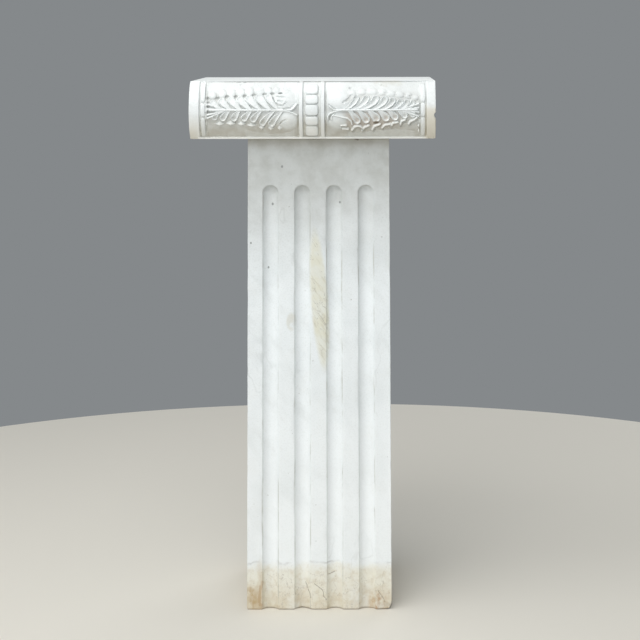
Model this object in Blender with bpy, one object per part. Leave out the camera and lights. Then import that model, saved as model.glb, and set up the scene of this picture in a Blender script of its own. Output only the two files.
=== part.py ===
"""Ionic marble pedestal: a tall square shaft with four flutes a side, and a scroll
capital laid on it. Metres, Z up, the front toward -Y, standing on Z = 0."""

import math

import bmesh
import bpy
import numpy as np

# Heights
SHAFT_HEIGHT = 0.8137
JOINT_GAP = 0.0003
CAPITAL_HEIGHT = 0.100

# Shaft
SHAFT_WIDTH = 0.2482
SHAFT_TAPER = 0.022
SHAFT_SET_RIGHT = 0.0095
SHAFT_ARRIS = 0.0014
FLUTE_COUNT = 4
FLUTE_PITCH = 0.0553
FLUTE_WIDTH = 0.0278
FLUTE_DEPTH = 0.0090
FLUTE_STOP = 0.0805
FLUTE_SIDES = 20
FLUTE_END_RINGS = 3
FLUTE_END_FLAT = 0.35
FLUTE_OVERRUN = 0.010
FRONT_FLUTES_SET_LEFT = 0.0010

# Capital block: a flat slab whose long edges swell into two bolsters
CAPITAL_LENGTH = 0.4229
BOLSTER_RADIUS = 0.0567
CAPITAL_DEPTH = 0.320
LIP = 0.0013
LIP_RUN = 0.0009
PANEL_SINK = 0.0034
WALL_RUN = 0.0007
WALL_MARGIN = 0.0006

# Belt of beads round the middle of each bolster
BELT_SET_LEFT = 0.0011
BEAD_HALF_WIDTH = 0.0119
BELT_GAP = 0.0028
BELT_FILLET = 0.0078
BEAD_JOINTS_DEG = (-54.0, -28.5, -10.2, 11.2, 29.6, 53.0)
BEAD_JOINT_SHARE = 0.16
BEAD_ROUND = 0.0030
BEAD_HIGH = 0.95
BEAD_SIDE_SHARE = 0.35

# Bands at the two ends of a bolster, left and right
END_BAND = (0.0174, 0.0151)
BAND_GROOVE = 0.0028
BLOCK_BAND = 0.0080
BAND_SLOT = 0.0030

# Depths on a bolster, as shares of PANEL_SINK
FILLET_DEPTH_SHARE = 0.10
BLOCK_DEPTH_SHARE = 0.25
GROOVE_DEPTH_SHARE = 0.75

# Leaves, measured outward from the belt and up or down from the rib
RIB_DROP = 0.0026
RIB_HALF_WIDTH = 0.0030
LOBE_COUNT = 7
FIRST_LOBE = 0.0414
LEAF_TIP = 0.0180
LONG_LOBE = 0.0285
SHORT_LOBE = 0.0180
LOBE_DISH = 0.40
LOBE_CREST = 0.70

# Shapes within a leaf, as shares of the lobes' pitch or length
LOBE_REACH_SHARE = 0.85
LOBE_RADIUS_SHARE = 0.42
LOBE_FOOT_SHARE = 0.19
LOBE_FOOT_RISE_SHARE = 0.10
LOBE_BEND_OUT_SHARE = 0.30
LOBE_BEND_RISE_SHARE = 0.42
LOBE_BEND_MIX = 0.55
TIP_OUT_SHARE = 0.20
TIP_RADIUS_SHARE = 0.38
TIP_HIGH = 0.70
MOUND_OUT_SHARE = 0.43
MOUND_RISE_SHARE = 0.68
MOUND_RADIUS_SHARE = 0.60
MOUND_HIGH = 0.85
DOME_POWER = 0.6
RIB_FOOT_SHARE = 0.36
RIB_END_SHARE = 0.30
RIDGE_SPREAD = 1.7
FINGER_RUN_SHARE = 0.75
FINGER_FAN_SHARE = 0.60
FINGER_WIDTH_SHARE = 0.80
FINGER_HIGH = 0.80

# Scrolls on the two end faces
SCROLL_TURNS = 2.0
SCROLL_RADIUS = 0.0390
SCROLL_EYE = 0.0105
SCROLL_STEPS = 40
CHANNEL_SHARE = 0.205
CHANNEL_DEPTH = 0.0042
CHANNEL_EYE_DEPTH = 0.0015
CHANNEL_FLOOR_SHARE = 0.55
CHANNEL_RIM = 0.0002
CHANNEL_OVERRUN = 0.002

# Breaks that show in the outline
NOTCH_HEIGHT = 0.0095
NOTCH_DEPTH = 0.0030
NOTCH_RISE_SHARE = 0.42
CORNER_BREAK_WIDTH = 0.0085
CORNER_BREAK_HEIGHT = 0.0170
BREAK_OVERRUN = 0.004
NOTCH_OVERRUN = 0.003

# Corners of the break at the foot, as shares of its width to the side and back, and of
# its height. None is a side that runs past the block.
BREAK_LOW = ((-1.0, None), (None, None), (None, 1.0), (-0.2, 0.6))
BREAK_HIGH = ((-0.35, None, 1.0), (None, None, 1.15), (None, 0.6, 1.0), (0.1, 0.2, 1.05))


def ease(value):
    """A smooth step from 0 to 1."""
    t = np.clip(value, 0.0, 1.0)
    return t * t * (3.0 - 2.0 * t)


def stone(name, colour, roughness):
    """One plain stone material."""
    made = bpy.data.materials.new(name)
    made.use_nodes = True
    shader = made.node_tree.nodes["Principled BSDF"]
    shader.inputs["Base Color"].default_value = (*colour, 1.0)
    shader.inputs["Roughness"].default_value = roughness
    return made


def named_object(name, vertices, faces, material=None):
    """A closed mesh object with outward faces."""
    mesh = bpy.data.meshes.new(name)
    mesh.from_pydata([tuple(map(float, v)) for v in vertices], [], faces)
    work = bmesh.new()
    work.from_mesh(mesh)
    bmesh.ops.recalc_face_normals(work, faces=work.faces)
    work.to_mesh(mesh)
    work.free()
    made = bpy.data.objects.new(name, mesh)
    bpy.context.scene.collection.objects.link(made)
    if material is not None:
        mesh.materials.append(material)
    return made


def cut(target, cutter):
    """Take one closed cutter out of the target."""
    cutter.hide_render = True
    cutter.display_type = "WIRE"
    modifier = target.modifiers.new("cut " + cutter.name, "BOOLEAN")
    modifier.operation = "DIFFERENCE"
    modifier.solver = "EXACT"
    modifier.object = cutter


def lofted(name, rings, material=None):
    """A closed solid through rings of equal length, capped flat at both ends."""
    size = len(rings[0])
    vertices = [point for ring in rings for point in ring]
    faces = [tuple(range(size)), tuple(range(len(vertices) - size, len(vertices)))]
    for level in range(len(rings) - 1):
        for step in range(size):
            after = (step + 1) % size
            low = level * size
            faces.append((low + step, low + after, low + size + after, low + size + step))
    return named_object(name, vertices, faces, material)


# Shaft


def widening(z):
    """How much wider than its mean the shaft is at height z."""
    return 1.0 + SHAFT_TAPER * (0.5 - z / SHAFT_HEIGHT)


def on_shaft(x, y, z):
    """A point of the straight shaft carried to the tapered one."""
    wide = widening(z)
    return (SHAFT_SET_RIGHT + x * wide, y * wide, z)


def shaft_block(material):
    """The square block with its arrises taken off."""
    half = SHAFT_WIDTH / 2
    rings = []
    for z, inset in (
        (0.0, SHAFT_ARRIS),
        (SHAFT_ARRIS, 0.0),
        (SHAFT_HEIGHT - SHAFT_ARRIS, 0.0),
        (SHAFT_HEIGHT, SHAFT_ARRIS),
    ):
        outer = half - inset
        inner = half - SHAFT_ARRIS - inset
        corners = []
        for sx, sy in ((1, 1), (-1, 1), (-1, -1), (1, -1)):
            pair = [(sx * outer, sy * inner), (sx * inner, sy * outer)]
            if sx * sy < 0:
                pair.reverse()
            corners.extend(on_shaft(x, y, z) for x, y in pair)
        rings.append(corners)
    return lofted("shaft", rings, material)


def flute_cutter(name, place, turn):
    """A round bar with a round top end, set so that it sinks FLUTE_DEPTH into a face.
    place is along the face, and turn is the face's angle about Z."""
    radius = (FLUTE_WIDTH**2 / 4 + FLUTE_DEPTH**2) / (2 * FLUTE_DEPTH)
    out = SHAFT_WIDTH / 2 + radius - FLUTE_DEPTH
    stop = SHAFT_HEIGHT - FLUTE_STOP - FLUTE_WIDTH / 2
    rings = [(-FLUTE_OVERRUN, 1.0), (stop, 1.0)]
    for ring in range(1, FLUTE_END_RINGS + 1):
        angle = 0.5 * math.pi * ring / (FLUTE_END_RINGS + FLUTE_END_FLAT)
        rings.append((stop + radius * math.sin(angle), math.cos(angle)))
    turned = []
    for z, share in rings:
        loop = []
        for side in range(FLUTE_SIDES):
            angle = 2 * math.pi * (side + 0.5) / FLUTE_SIDES
            along = place + share * radius * math.cos(angle)
            away = out + share * radius * math.sin(angle)
            x = along * math.cos(turn) + away * math.sin(turn)
            y = along * math.sin(turn) - away * math.cos(turn)
            loop.append(on_shaft(x, y, z))
        turned.append(loop)
    return lofted(name, turned)


def corner_break():
    """The wedge gone from the foot of the front right corner."""
    corner_x, corner_y, _ = on_shaft(SHAFT_WIDTH / 2, -SHAFT_WIDTH / 2, 0.0)

    def across(share):
        return corner_x + (BREAK_OVERRUN if share is None else share * CORNER_BREAK_WIDTH)

    def back(share):
        return corner_y + (-BREAK_OVERRUN if share is None else share * CORNER_BREAK_WIDTH)

    points = [(across(x), back(y), -BREAK_OVERRUN) for x, y in BREAK_LOW]
    points += [(across(x), back(y), z * CORNER_BREAK_HEIGHT) for x, y, z in BREAK_HIGH]
    faces = [(0, 1, 2), (0, 2, 3), (4, 5, 6), (4, 6, 7)]
    for a in range(4):
        b = (a + 1) % 4
        faces.extend([(a, b, 4 + b), (a, 4 + b, 4 + a)])
    return named_object("corner_break", points, faces)


def shaft(material):
    made = shaft_block(material)
    for face in range(4):
        turn = 0.5 * math.pi * face
        shift = FRONT_FLUTES_SET_LEFT if face == 0 else 0.0
        for index in range(FLUTE_COUNT):
            place = (index - (FLUTE_COUNT - 1) / 2) * FLUTE_PITCH - shift
            cut(made, flute_cutter(f"flute_{face}_{index}", place, turn))
    cut(made, corner_break())
    return made


# Carving of a bolster, as a depth below its plain surface. out is the distance from
# the middle of the belt, rise the height above the middle of the bolster, and side is
# -1 for the left half of the bolster and 1 for the right half.


def belt_half():
    """Half the width of the belt, fillets included."""
    return BEAD_HALF_WIDTH + BELT_GAP + BELT_FILLET


def panel_edges(side):
    """Distances from the belt's middle to the end of the leaf panel, the two edges of
    the block band, the plain end band and the end face."""
    face = CAPITAL_LENGTH / 2 + side * BELT_SET_LEFT
    plain = face - END_BAND[0 if side < 0 else 1]
    block_end = plain - BAND_GROOVE
    block_start = block_end - BLOCK_BAND
    return block_start - BAND_SLOT, block_start, block_end, plain, face


def lobe_ends(side):
    """Where the lobes of one leaf end, and their pitch."""
    first = belt_half() + FIRST_LOBE
    last = panel_edges(side)[0] - LEAF_TIP
    pitch = (last - first) / (LOBE_COUNT - 1)
    return [first + index * pitch for index in range(LOBE_COUNT)], pitch


def lobe_length(out, side):
    """How far the lobes reach from the rib, shorter toward the tip of the leaf."""
    ends, pitch = lobe_ends(side)
    slim = ease((out - ends[0] - pitch) / (ends[-1] - ends[0] - pitch))
    return LONG_LOBE + (SHORT_LOBE - LONG_LOBE) * slim


def along_bar(out, rise, start, end):
    """Distance from a straight bar, and how far along it the nearest point is."""
    run = (end[0] - start[0], end[1] - start[1])
    share = ((out - start[0]) * run[0] + (rise - start[1]) * run[1]) / (run[0] ** 2 + run[1] ** 2)
    share = np.clip(share, 0.0, 1.0)
    away = np.hypot(out - start[0] - share * run[0], rise - start[1] - share * run[1])
    return away, share


def lobe(out, rise, end, length, pitch, up):
    """One dished lobe: it leaves the rib at a slant and turns outward to a round end."""
    reach = LOBE_REACH_SHARE * length
    foot_radius = LOBE_FOOT_SHARE * pitch
    tip_radius = LOBE_RADIUS_SHARE * pitch
    bend_radius = foot_radius + LOBE_BEND_MIX * (tip_radius - foot_radius)
    foot = (end - reach, -RIB_DROP + up * LOBE_FOOT_RISE_SHARE * length)
    bend = (end - LOBE_BEND_OUT_SHARE * reach, -RIB_DROP + up * LOBE_BEND_RISE_SHARE * length)
    tip = (end, -RIB_DROP + up * (length - tip_radius))
    inner, inner_share = along_bar(out, rise, foot, bend)
    outer, outer_share = along_bar(out, rise, bend, tip)
    inner_radius = foot_radius + (bend_radius - foot_radius) * inner_share
    outer_radius = bend_radius + (tip_radius - bend_radius) * outer_share
    share = np.minimum(inner / inner_radius, outer / outer_radius)
    dished = LOBE_DISH + (1 - LOBE_DISH) * (share / LOBE_CREST) ** 2
    falling = 1 - ((share - LOBE_CREST) / (1 - LOBE_CREST)) ** 2
    return np.where(share < LOBE_CREST, dished, np.where(share < 1, falling, 0.0))


def dome(out, rise, centre, radius):
    """A low round mound."""
    share = np.hypot(out - centre[0], rise - centre[1]) / radius
    return np.clip(1 - share**2, 0.0, 1.0) ** DOME_POWER


def ridge(out, rise, start, end, half_width):
    """A raised bar with soft edges."""
    away, _ = along_bar(out, rise, start, end)
    return ease(RIDGE_SPREAD - away / half_width)


def leaf(out, rise, side):
    """Height of the leaf above its ground, 0 to 1."""
    ends, pitch = lobe_ends(side)
    run = ends[0] - belt_half()
    foot = belt_half() + RIB_FOOT_SHARE * run
    last = ends[-1]
    rib_end = last + RIB_END_SHARE * pitch
    high = ridge(out, rise, (foot, -RIB_DROP), (rib_end, -RIB_DROP), RIB_HALF_WIDTH)
    for up in (1, -1):
        mound_rise = -RIB_DROP + up * MOUND_RISE_SHARE * LONG_LOBE
        centre = (belt_half() + MOUND_OUT_SHARE * run, mound_rise)
        mound = dome(out, rise, centre, MOUND_RADIUS_SHARE * LONG_LOBE)
        high = np.maximum(high, MOUND_HIGH * mound)
        for end in ends:
            length = float(lobe_length(end, side))
            high = np.maximum(high, lobe(out, rise, end, length, pitch, up))
            notch = end - pitch / 2
            far = -RIB_DROP + up * (1 + TIP_OUT_SHARE) * float(lobe_length(notch, side))
            tip = dome(out, rise, (notch, far), TIP_RADIUS_SHARE * pitch)
            high = np.maximum(high, TIP_HIGH * tip)
    for spread in (-1, 0, 1):
        start = (last - FINGER_RUN_SHARE * pitch, -RIB_DROP)
        fan = spread * FINGER_FAN_SHARE * SHORT_LOBE
        end = (last + FINGER_RUN_SHARE * pitch, -RIB_DROP + fan)
        finger = ridge(out, rise, start, end, FINGER_WIDTH_SHARE * RIB_HALF_WIDTH)
        high = np.maximum(high, FINGER_HIGH * finger)
    return high


def beads(rise):
    """Pillow profile of the bead column along the arc, 0 in the joints, 1 on a bead."""
    angle = np.degrees(np.arcsin(np.clip(rise / BOLSTER_RADIUS, -1, 1)))
    high = np.zeros_like(angle)
    for low, top in zip(BEAD_JOINTS_DEG, BEAD_JOINTS_DEG[1:]):
        share = (angle - low) / (top - low)
        edge = np.minimum(share, 1 - share) / BEAD_JOINT_SHARE
        high = np.maximum(high, np.where((share > 0) & (share < 1), ease(edge), 0.0))
    return high


def carving(out, rise, side):
    """Depth below the plain bolster, in metres."""
    panel, block_start, block_end, plain, _ = panel_edges(side)
    gap_end = BEAD_HALF_WIDTH + BELT_GAP
    fillet_end = belt_half()
    depth = PANEL_SINK * (1 - leaf(out, rise, side))
    in_belt = out < fillet_end + WALL_MARGIN
    inner = ease((BEAD_HALF_WIDTH - out) / BEAD_ROUND)
    round_side = BEAD_SIDE_SHARE + (1 - BEAD_SIDE_SHARE) * inner
    bead_depth = PANEL_SINK * (1 - BEAD_HIGH * beads(rise) * round_side)
    belt_depth = np.where(out < BEAD_HALF_WIDTH + WALL_MARGIN, bead_depth, PANEL_SINK)
    on_fillet = (out > gap_end - WALL_MARGIN) & (out < fillet_end + WALL_MARGIN)
    belt_depth = np.where(on_fillet, FILLET_DEPTH_SHARE * PANEL_SINK, belt_depth)
    depth = np.where(in_belt, belt_depth, depth)
    depth = np.where(out > panel, PANEL_SINK, depth)
    on_block = (out > block_start - WALL_MARGIN) & (out < block_end + WALL_MARGIN)
    depth = np.where(on_block, BLOCK_DEPTH_SHARE * PANEL_SINK, depth)
    depth = np.where(out > block_end + WALL_MARGIN, GROOVE_DEPTH_SHARE * PANEL_SINK, depth)
    depth = np.where(out > plain - WALL_MARGIN, 0.0, depth)
    inside = CAPITAL_HEIGHT / 2 - np.abs(rise)
    return depth * ease((inside - LIP) / LIP_RUN)


def columns(side, fine):
    """Distances from the belt of the mesh columns, as they stand at the lobe ends."""
    panel, block_start, block_end, plain, face = panel_edges(side)
    ends, pitch = lobe_ends(side)
    gap_end = BEAD_HALF_WIDTH + BELT_GAP
    step = WALL_RUN
    places = [0.0]
    if fine:
        places.append(BEAD_HALF_WIDTH - 4 * step)
    places += [BEAD_HALF_WIDTH, BEAD_HALF_WIDTH + step, gap_end - 2 * step, gap_end]
    places += [belt_half(), belt_half() + 2 * step]
    start = places[-1]
    base = 5 if fine else 3
    run = ends[0] - pitch / 2 - start
    places += [start + run * k / base for k in range(1, base)]
    shares = (-0.5, -0.27, 0.0, 0.27) if fine else (-0.5, 0.0)
    for end in ends:
        places += [end + share * pitch for share in shares]
    places += [ends[-1] + pitch / 2, panel]
    places += [block_start - step, block_start, block_end, block_end + step]
    places += [plain - step, plain, face]
    return places


def lip_rows():
    """Heights of the three mesh rows at the lip."""
    half = CAPITAL_HEIGHT / 2
    return [half - LIP - 1.6 * WALL_RUN, half - LIP, half]


def rows(up, out, side, fine):
    """Heights from the rib to the lip, following the length of the lobes."""
    length = float(lobe_length(out, side))
    tip = (1 + TIP_OUT_SHARE) * length
    tip_end = tip + TIP_RADIUS_SHARE * lobe_ends(side)[1]
    shares = (0.10, 0.28, 0.50, 0.72, 0.88, 1.0) if fine else (0.12, 0.40, 0.70, 1.0)
    reaches = [share * length for share in shares]
    reaches += [tip, tip_end] if fine else [tip_end]
    return [-RIB_DROP + up * reach for reach in reaches] + [up * rise for rise in lip_rows()]


def bead_rows(fine):
    """Heights of the mesh rows where they cross the belt, from the bottom up."""
    angles = []
    for index, (low, top) in enumerate(zip(BEAD_JOINTS_DEG, BEAD_JOINTS_DEG[1:])):
        edge = BEAD_JOINT_SHARE * (top - low)
        middle = 0.5 * (low + top)
        if not fine:
            angles += [low, middle]
        elif index == len(BEAD_JOINTS_DEG) // 2 - 1:
            angles += [low, low + edge, middle, top - edge]
        else:
            angles += [low, low + edge, top - edge]
    angles.append(BEAD_JOINTS_DEG[-1])
    return [BOLSTER_RADIUS * math.sin(math.radians(angle)) for angle in angles]


def belt_rows(count, fine):
    """Heights of the mesh rows across the belt, from the bottom lip to the top lip."""
    joints = bead_rows(fine)
    spread = np.linspace(0, 1, count - 6)
    inner = np.interp(spread, np.linspace(0, 1, len(joints)), joints)
    return [-rise for rise in lip_rows()[::-1]] + list(inner) + lip_rows()


def slant(out, rise, side):
    """How far toward the belt a mesh column leans at this height, as the lobes do."""
    ends, pitch = lobe_ends(side)
    length = float(lobe_length(out, side))
    share = min(abs(rise + RIB_DROP) / length, 1.0)
    grown = (out - belt_half()) / (ends[0] - pitch / 2 - belt_half())
    grown = min(max(grown, 0.0), 1.0)
    fading = float(ease((panel_edges(side)[0] - out) / (0.7 * LEAF_TIP)))
    return LOBE_REACH_SHARE * length * (1 - share) ** 1.5 * grown * fading


def bolster_grid(side, fine):
    """Points of one half of a bolster, column by column outward from the belt, each
    column from the bottom lip to the top lip, as (out, rise)."""
    grid = []
    for place in columns(side, fine):
        top = rows(1, place, side, fine)
        heights = rows(-1, place, side, fine)[::-1] + [-RIB_DROP] + top
        if place <= belt_half():
            heights = belt_rows(len(heights), fine)
        grid.append([(place - slant(place, rise, side), rise) for rise in heights])
    return grid


def bolster_points(fine, face_y):
    """The carved bolster as a grid of points from the left end to the right end."""
    centre_y = CAPITAL_DEPTH / 2 - BOLSTER_RADIUS
    middle_z = SHAFT_HEIGHT + JOINT_GAP + CAPITAL_HEIGHT / 2
    half = CAPITAL_HEIGHT / 2
    every = []
    for side in (-1, 1):
        half_grid = []
        for column in bolster_grid(side, fine):
            out = np.array([point[0] for point in column])
            rise = np.array([point[1] for point in column])
            depth = carving(out, rise, side)
            angle = np.arcsin(np.clip(rise / BOLSTER_RADIUS, -1, 1))
            keep = 1 - (np.abs(rise) / half) ** 4
            away = centre_y + (BOLSTER_RADIUS - depth) * np.cos(angle)
            height = rise - depth * np.sin(angle) * keep
            x = -BELT_SET_LEFT + side * out
            half_grid.append(
                [(x[k], face_y * away[k], middle_z + height[k]) for k in range(len(out))]
            )
        every.append(half_grid)
    return every[0][:0:-1] + every[1]


def capital_block(material):
    """The slab with a finely carved front bolster and a plainer back one."""
    vertices = []
    faces = []
    borders = []
    for fine, face_y in ((True, -1), (False, 1)):
        grid = bolster_points(fine, face_y)
        tall = len(grid[0])
        start = len(vertices)
        for column in grid:
            vertices.extend(column)
        for c in range(len(grid) - 1):
            for r in range(tall - 1):
                a = start + c * tall + r
                faces.append((a, a + tall, a + tall + 1, a + 1))
        first = list(range(start, start + tall))
        last = [start + (len(grid) - 1) * tall + r for r in range(tall)]
        bottom = [start + c * tall for c in range(len(grid))]
        top = [start + c * tall + tall - 1 for c in range(len(grid))]
        borders.append((first, last, bottom, top))
    front, back = borders
    for edge in range(4):
        faces.append(tuple(front[edge] + back[edge][::-1]))
    return named_object("capital", vertices, faces, material)


def scroll_path():
    """The channel's centre line and half width: in one eye, along the top, into the
    other eye."""
    centre_y = CAPITAL_DEPTH / 2 - BOLSTER_RADIUS
    shrink = math.log(SCROLL_RADIUS / SCROLL_EYE) / (2 * math.pi * SCROLL_TURNS)
    arm = []
    for step in range(SCROLL_STEPS + 1):
        turn = 2 * math.pi * SCROLL_TURNS * step / SCROLL_STEPS
        radius = SCROLL_RADIUS * math.exp(-shrink * turn)
        y = centre_y + radius * math.sin(turn)
        z = radius * math.cos(turn)
        arm.append((y, z, CHANNEL_SHARE * radius))
    mirrored = [(-y, z, wide) for y, z, wide in arm]
    return mirrored[::-1] + arm


def scroll_cutter(end_sign):
    """A bar of trough section swept along the scroll line on one end face."""
    path = scroll_path()
    face_x = end_sign * CAPITAL_LENGTH / 2
    middle_z = SHAFT_HEIGHT + JOINT_GAP + CAPITAL_HEIGHT / 2
    rings = []
    for index, (y, z, wide) in enumerate(path):
        before = path[max(index - 1, 0)]
        after = path[min(index + 1, len(path) - 1)]
        run_y, run_z = after[0] - before[0], after[1] - before[1]
        size = math.hypot(run_y, run_z)
        across = (-run_z / size, run_y / size)
        fullness = wide / (CHANNEL_SHARE * SCROLL_RADIUS)
        deep = CHANNEL_EYE_DEPTH + (CHANNEL_DEPTH - CHANNEL_EYE_DEPTH) * fullness
        section = (
            (-1.0, -CHANNEL_OVERRUN),
            (-1.0, CHANNEL_RIM),
            (-CHANNEL_FLOOR_SHARE, deep),
            (CHANNEL_FLOOR_SHARE, deep),
            (1.0, CHANNEL_RIM),
            (1.0, -CHANNEL_OVERRUN),
        )
        rings.append(
            [
                (
                    face_x - end_sign * inward,
                    y + share * wide * across[0],
                    middle_z + z + share * wide * across[1],
                )
                for share, inward in section
            ]
        )
    return lofted("scroll_left" if end_sign < 0 else "scroll_right", rings)


def edge_notch():
    """The chip gone from the right end of the front bolster."""
    x = CAPITAL_LENGTH / 2
    y = -CAPITAL_DEPTH / 2
    z = SHAFT_HEIGHT + JOINT_GAP + NOTCH_RISE_SHARE * CAPITAL_HEIGHT
    half = NOTCH_HEIGHT / 2
    front = y - BREAK_OVERRUN
    outside = x + NOTCH_OVERRUN
    points = [
        (x - NOTCH_DEPTH, front, z + 0.25 * half),
        (outside, front, z + 1.3 * half),
        (outside, front, z - 1.6 * half),
        (x - 0.3 * NOTCH_DEPTH, y + 2.8 * NOTCH_DEPTH, z),
        (outside, y + 4.2 * NOTCH_DEPTH, z + 0.3 * half),
    ]
    faces = [(0, 1, 2), (0, 1, 3), (1, 3, 4), (0, 2, 3), (2, 3, 4), (1, 2, 4)]
    return named_object("edge_notch", points, faces)


def capital(material):
    made = capital_block(material)
    cut(made, scroll_cutter(-1))
    cut(made, scroll_cutter(1))
    cut(made, edge_notch())
    return made


for item in list(bpy.data.objects):
    bpy.data.objects.remove(item, do_unlink=True)

shaft(stone("shaft marble", (0.80, 0.81, 0.78), 0.62))
capital(stone("capital marble", (0.83, 0.84, 0.82), 0.58))
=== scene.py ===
# %% [markdown]
# # An Ionic marble pedestal
# The pedestal is two blocks of white marble: a tall square shaft with flutes, and a carved capital that
# lies loose on top. Both blocks come from a CAD model as plain faceted solids. This script dresses them:
# each one is replaced by a finely divided mesh with worn edges, chips and crisp carving, and gets a
# marble finish made from shader nodes.

# %% Load the frame
import math

import bpy
import numpy as np
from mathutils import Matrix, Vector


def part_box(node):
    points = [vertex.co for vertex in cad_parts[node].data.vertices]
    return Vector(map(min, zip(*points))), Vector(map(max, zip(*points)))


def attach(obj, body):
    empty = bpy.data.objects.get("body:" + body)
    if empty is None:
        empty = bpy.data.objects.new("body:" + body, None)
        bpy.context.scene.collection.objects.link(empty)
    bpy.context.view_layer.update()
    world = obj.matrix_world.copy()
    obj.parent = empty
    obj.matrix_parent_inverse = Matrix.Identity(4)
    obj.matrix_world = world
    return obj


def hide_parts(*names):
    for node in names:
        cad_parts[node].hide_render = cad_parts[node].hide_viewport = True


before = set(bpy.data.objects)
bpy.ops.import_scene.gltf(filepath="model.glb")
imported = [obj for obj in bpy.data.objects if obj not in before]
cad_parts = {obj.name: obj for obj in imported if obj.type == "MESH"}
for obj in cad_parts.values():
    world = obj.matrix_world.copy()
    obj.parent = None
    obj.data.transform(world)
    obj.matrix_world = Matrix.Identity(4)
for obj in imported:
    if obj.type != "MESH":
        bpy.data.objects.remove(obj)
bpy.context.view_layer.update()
print("nodes:", sorted(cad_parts))

# %% [markdown]
# ## The camera
# The photograph was taken almost level, from a little above the top of the pedestal and right of its
# middle, and its frame was then shifted down. A level camera with a lens shift keeps the upright edges
# upright, where a tilted camera would make them lean.

# %% Camera
IMAGE_SIDE = 640
SENSOR_MM = 36.0
FOCAL_PIXELS = 1679.0
VANISHING_PIXEL = (371.0, 36.0)
CAMERA_PLACE = (0.1006, -3.0265, 0.991)
CAMERA_ROLL_DEG = 0.12

camera_data = bpy.data.cameras.new("photo camera")
camera = bpy.data.objects.new("photo camera", camera_data)
bpy.context.scene.collection.objects.link(camera)
bpy.context.scene.camera = camera
camera.location = CAMERA_PLACE
camera.rotation_euler = (math.pi / 2, math.radians(CAMERA_ROLL_DEG), 0.0)
camera_data.sensor_width = SENSOR_MM
camera_data.lens = FOCAL_PIXELS * SENSOR_MM / IMAGE_SIDE
camera_data.shift_x = (IMAGE_SIDE / 2 - VANISHING_PIXEL[0]) / IMAGE_SIDE
camera_data.shift_y = (VANISHING_PIXEL[1] - IMAGE_SIDE / 2) / IMAGE_SIDE
print("lens:", round(camera_data.lens, 1), "mm")

# %% [markdown]
# ## The floor and the light
# Carving reads by its shading, so much of the light falls from above and a little from the left: one soft
# panel overhead, one high in front and a small one upper left. A broad one a little above the capital fills
# the shaft, and a grey sky does the rest. One more panel behind lifts the back. The pale floor is a plain
# disc. It throws warm light up under the capital, as a stone pavement does.

# %% Floor
FLOOR_RADIUS = 1.50
FLOOR_SIDES = 128
FLOOR_COLOUR = (0.76, 0.73, 0.66, 1.0)


def plain_material(name, colour, roughness):
    made = bpy.data.materials.new(name)
    made.use_nodes = True
    shader = made.node_tree.nodes["Principled BSDF"]
    shader.inputs["Base Color"].default_value = colour
    shader.inputs["Roughness"].default_value = roughness
    return made


rim = [2 * math.pi * step / FLOOR_SIDES for step in range(FLOOR_SIDES)]
floor_mesh = bpy.data.meshes.new("floor")
floor_mesh.from_pydata(
    [(FLOOR_RADIUS * math.cos(angle), FLOOR_RADIUS * math.sin(angle), 0.0) for angle in rim],
    [],
    [tuple(range(FLOOR_SIDES))],
)
floor = bpy.data.objects.new("floor", floor_mesh)
bpy.context.scene.collection.objects.link(floor)
floor_mesh.materials.append(plain_material("pale floor", FLOOR_COLOUR, 0.85))
print("floor disc:", 2 * FLOOR_RADIUS, "m across")

# %% Light
SKY_COLOUR = (0.50, 0.53, 0.55, 1.0)
SKY_STRENGTH = 0.47


def soft_panel(name, place, target, size, watts, colour):
    """A square area lamp that faces a point."""
    data = bpy.data.lights.new(name, "AREA")
    data.shape = "SQUARE"
    data.size = size
    data.energy = watts
    data.color = colour
    lamp = bpy.data.objects.new(name, data)
    bpy.context.scene.collection.objects.link(lamp)
    lamp.location = place
    toward = np.array(target) - np.array(place)
    flat = math.hypot(toward[0], toward[1])
    lamp.rotation_euler = (math.atan2(flat, -toward[2]), 0.0, math.atan2(-toward[0], toward[1]))


soft_panel("overhead panel", (-0.4, -0.5, 3.2), (0.0, -0.05, 0.6), 2.2, 22.0, (1.0, 0.99, 0.97))
soft_panel("high panel", (-0.6, -1.9, 2.9), (0.0, -0.05, 0.6), 2.0, 38.0, (1.0, 0.99, 0.97))
soft_panel("upper left panel", (-1.9, -0.9, 2.6), (0.0, -0.05, 0.6), 1.6, 14.0, (1.0, 1.0, 0.99))
soft_panel("front panel", (-0.9, -3.6, 1.1), (0.0, 0.0, 0.45), 2.0, 39.5, (0.97, 0.99, 1.0))
soft_panel("back panel", (1.6, 3.0, 2.2), (0.0, 0.0, 0.5), 1.8, 26.0, (1.0, 1.0, 1.0))

world = bpy.data.worlds.new("grey sky")
bpy.context.scene.world = world
world.use_nodes = True
sky = world.node_tree.nodes["Background"]
sky.inputs["Color"].default_value = SKY_COLOUR
sky.inputs["Strength"].default_value = SKY_STRENGTH
bpy.context.scene.view_settings.view_transform = "Standard"

# %% [markdown]
# ## Smooth noise on a grid
# Stone that was cut by hand and then weathered is never quite even. The meshes below need one source of
# soft unevenness, so this helper draws random numbers on a coarse grid, from a fixed seed, and blends
# between them. Each use has its own seed, so that no two edges wear alike.


# %% Noise
def ease(value):
    """A smooth step from 0 to 1."""
    t = np.clip(value, 0.0, 1.0)
    return t * t * (3.0 - 2.0 * t)


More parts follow.
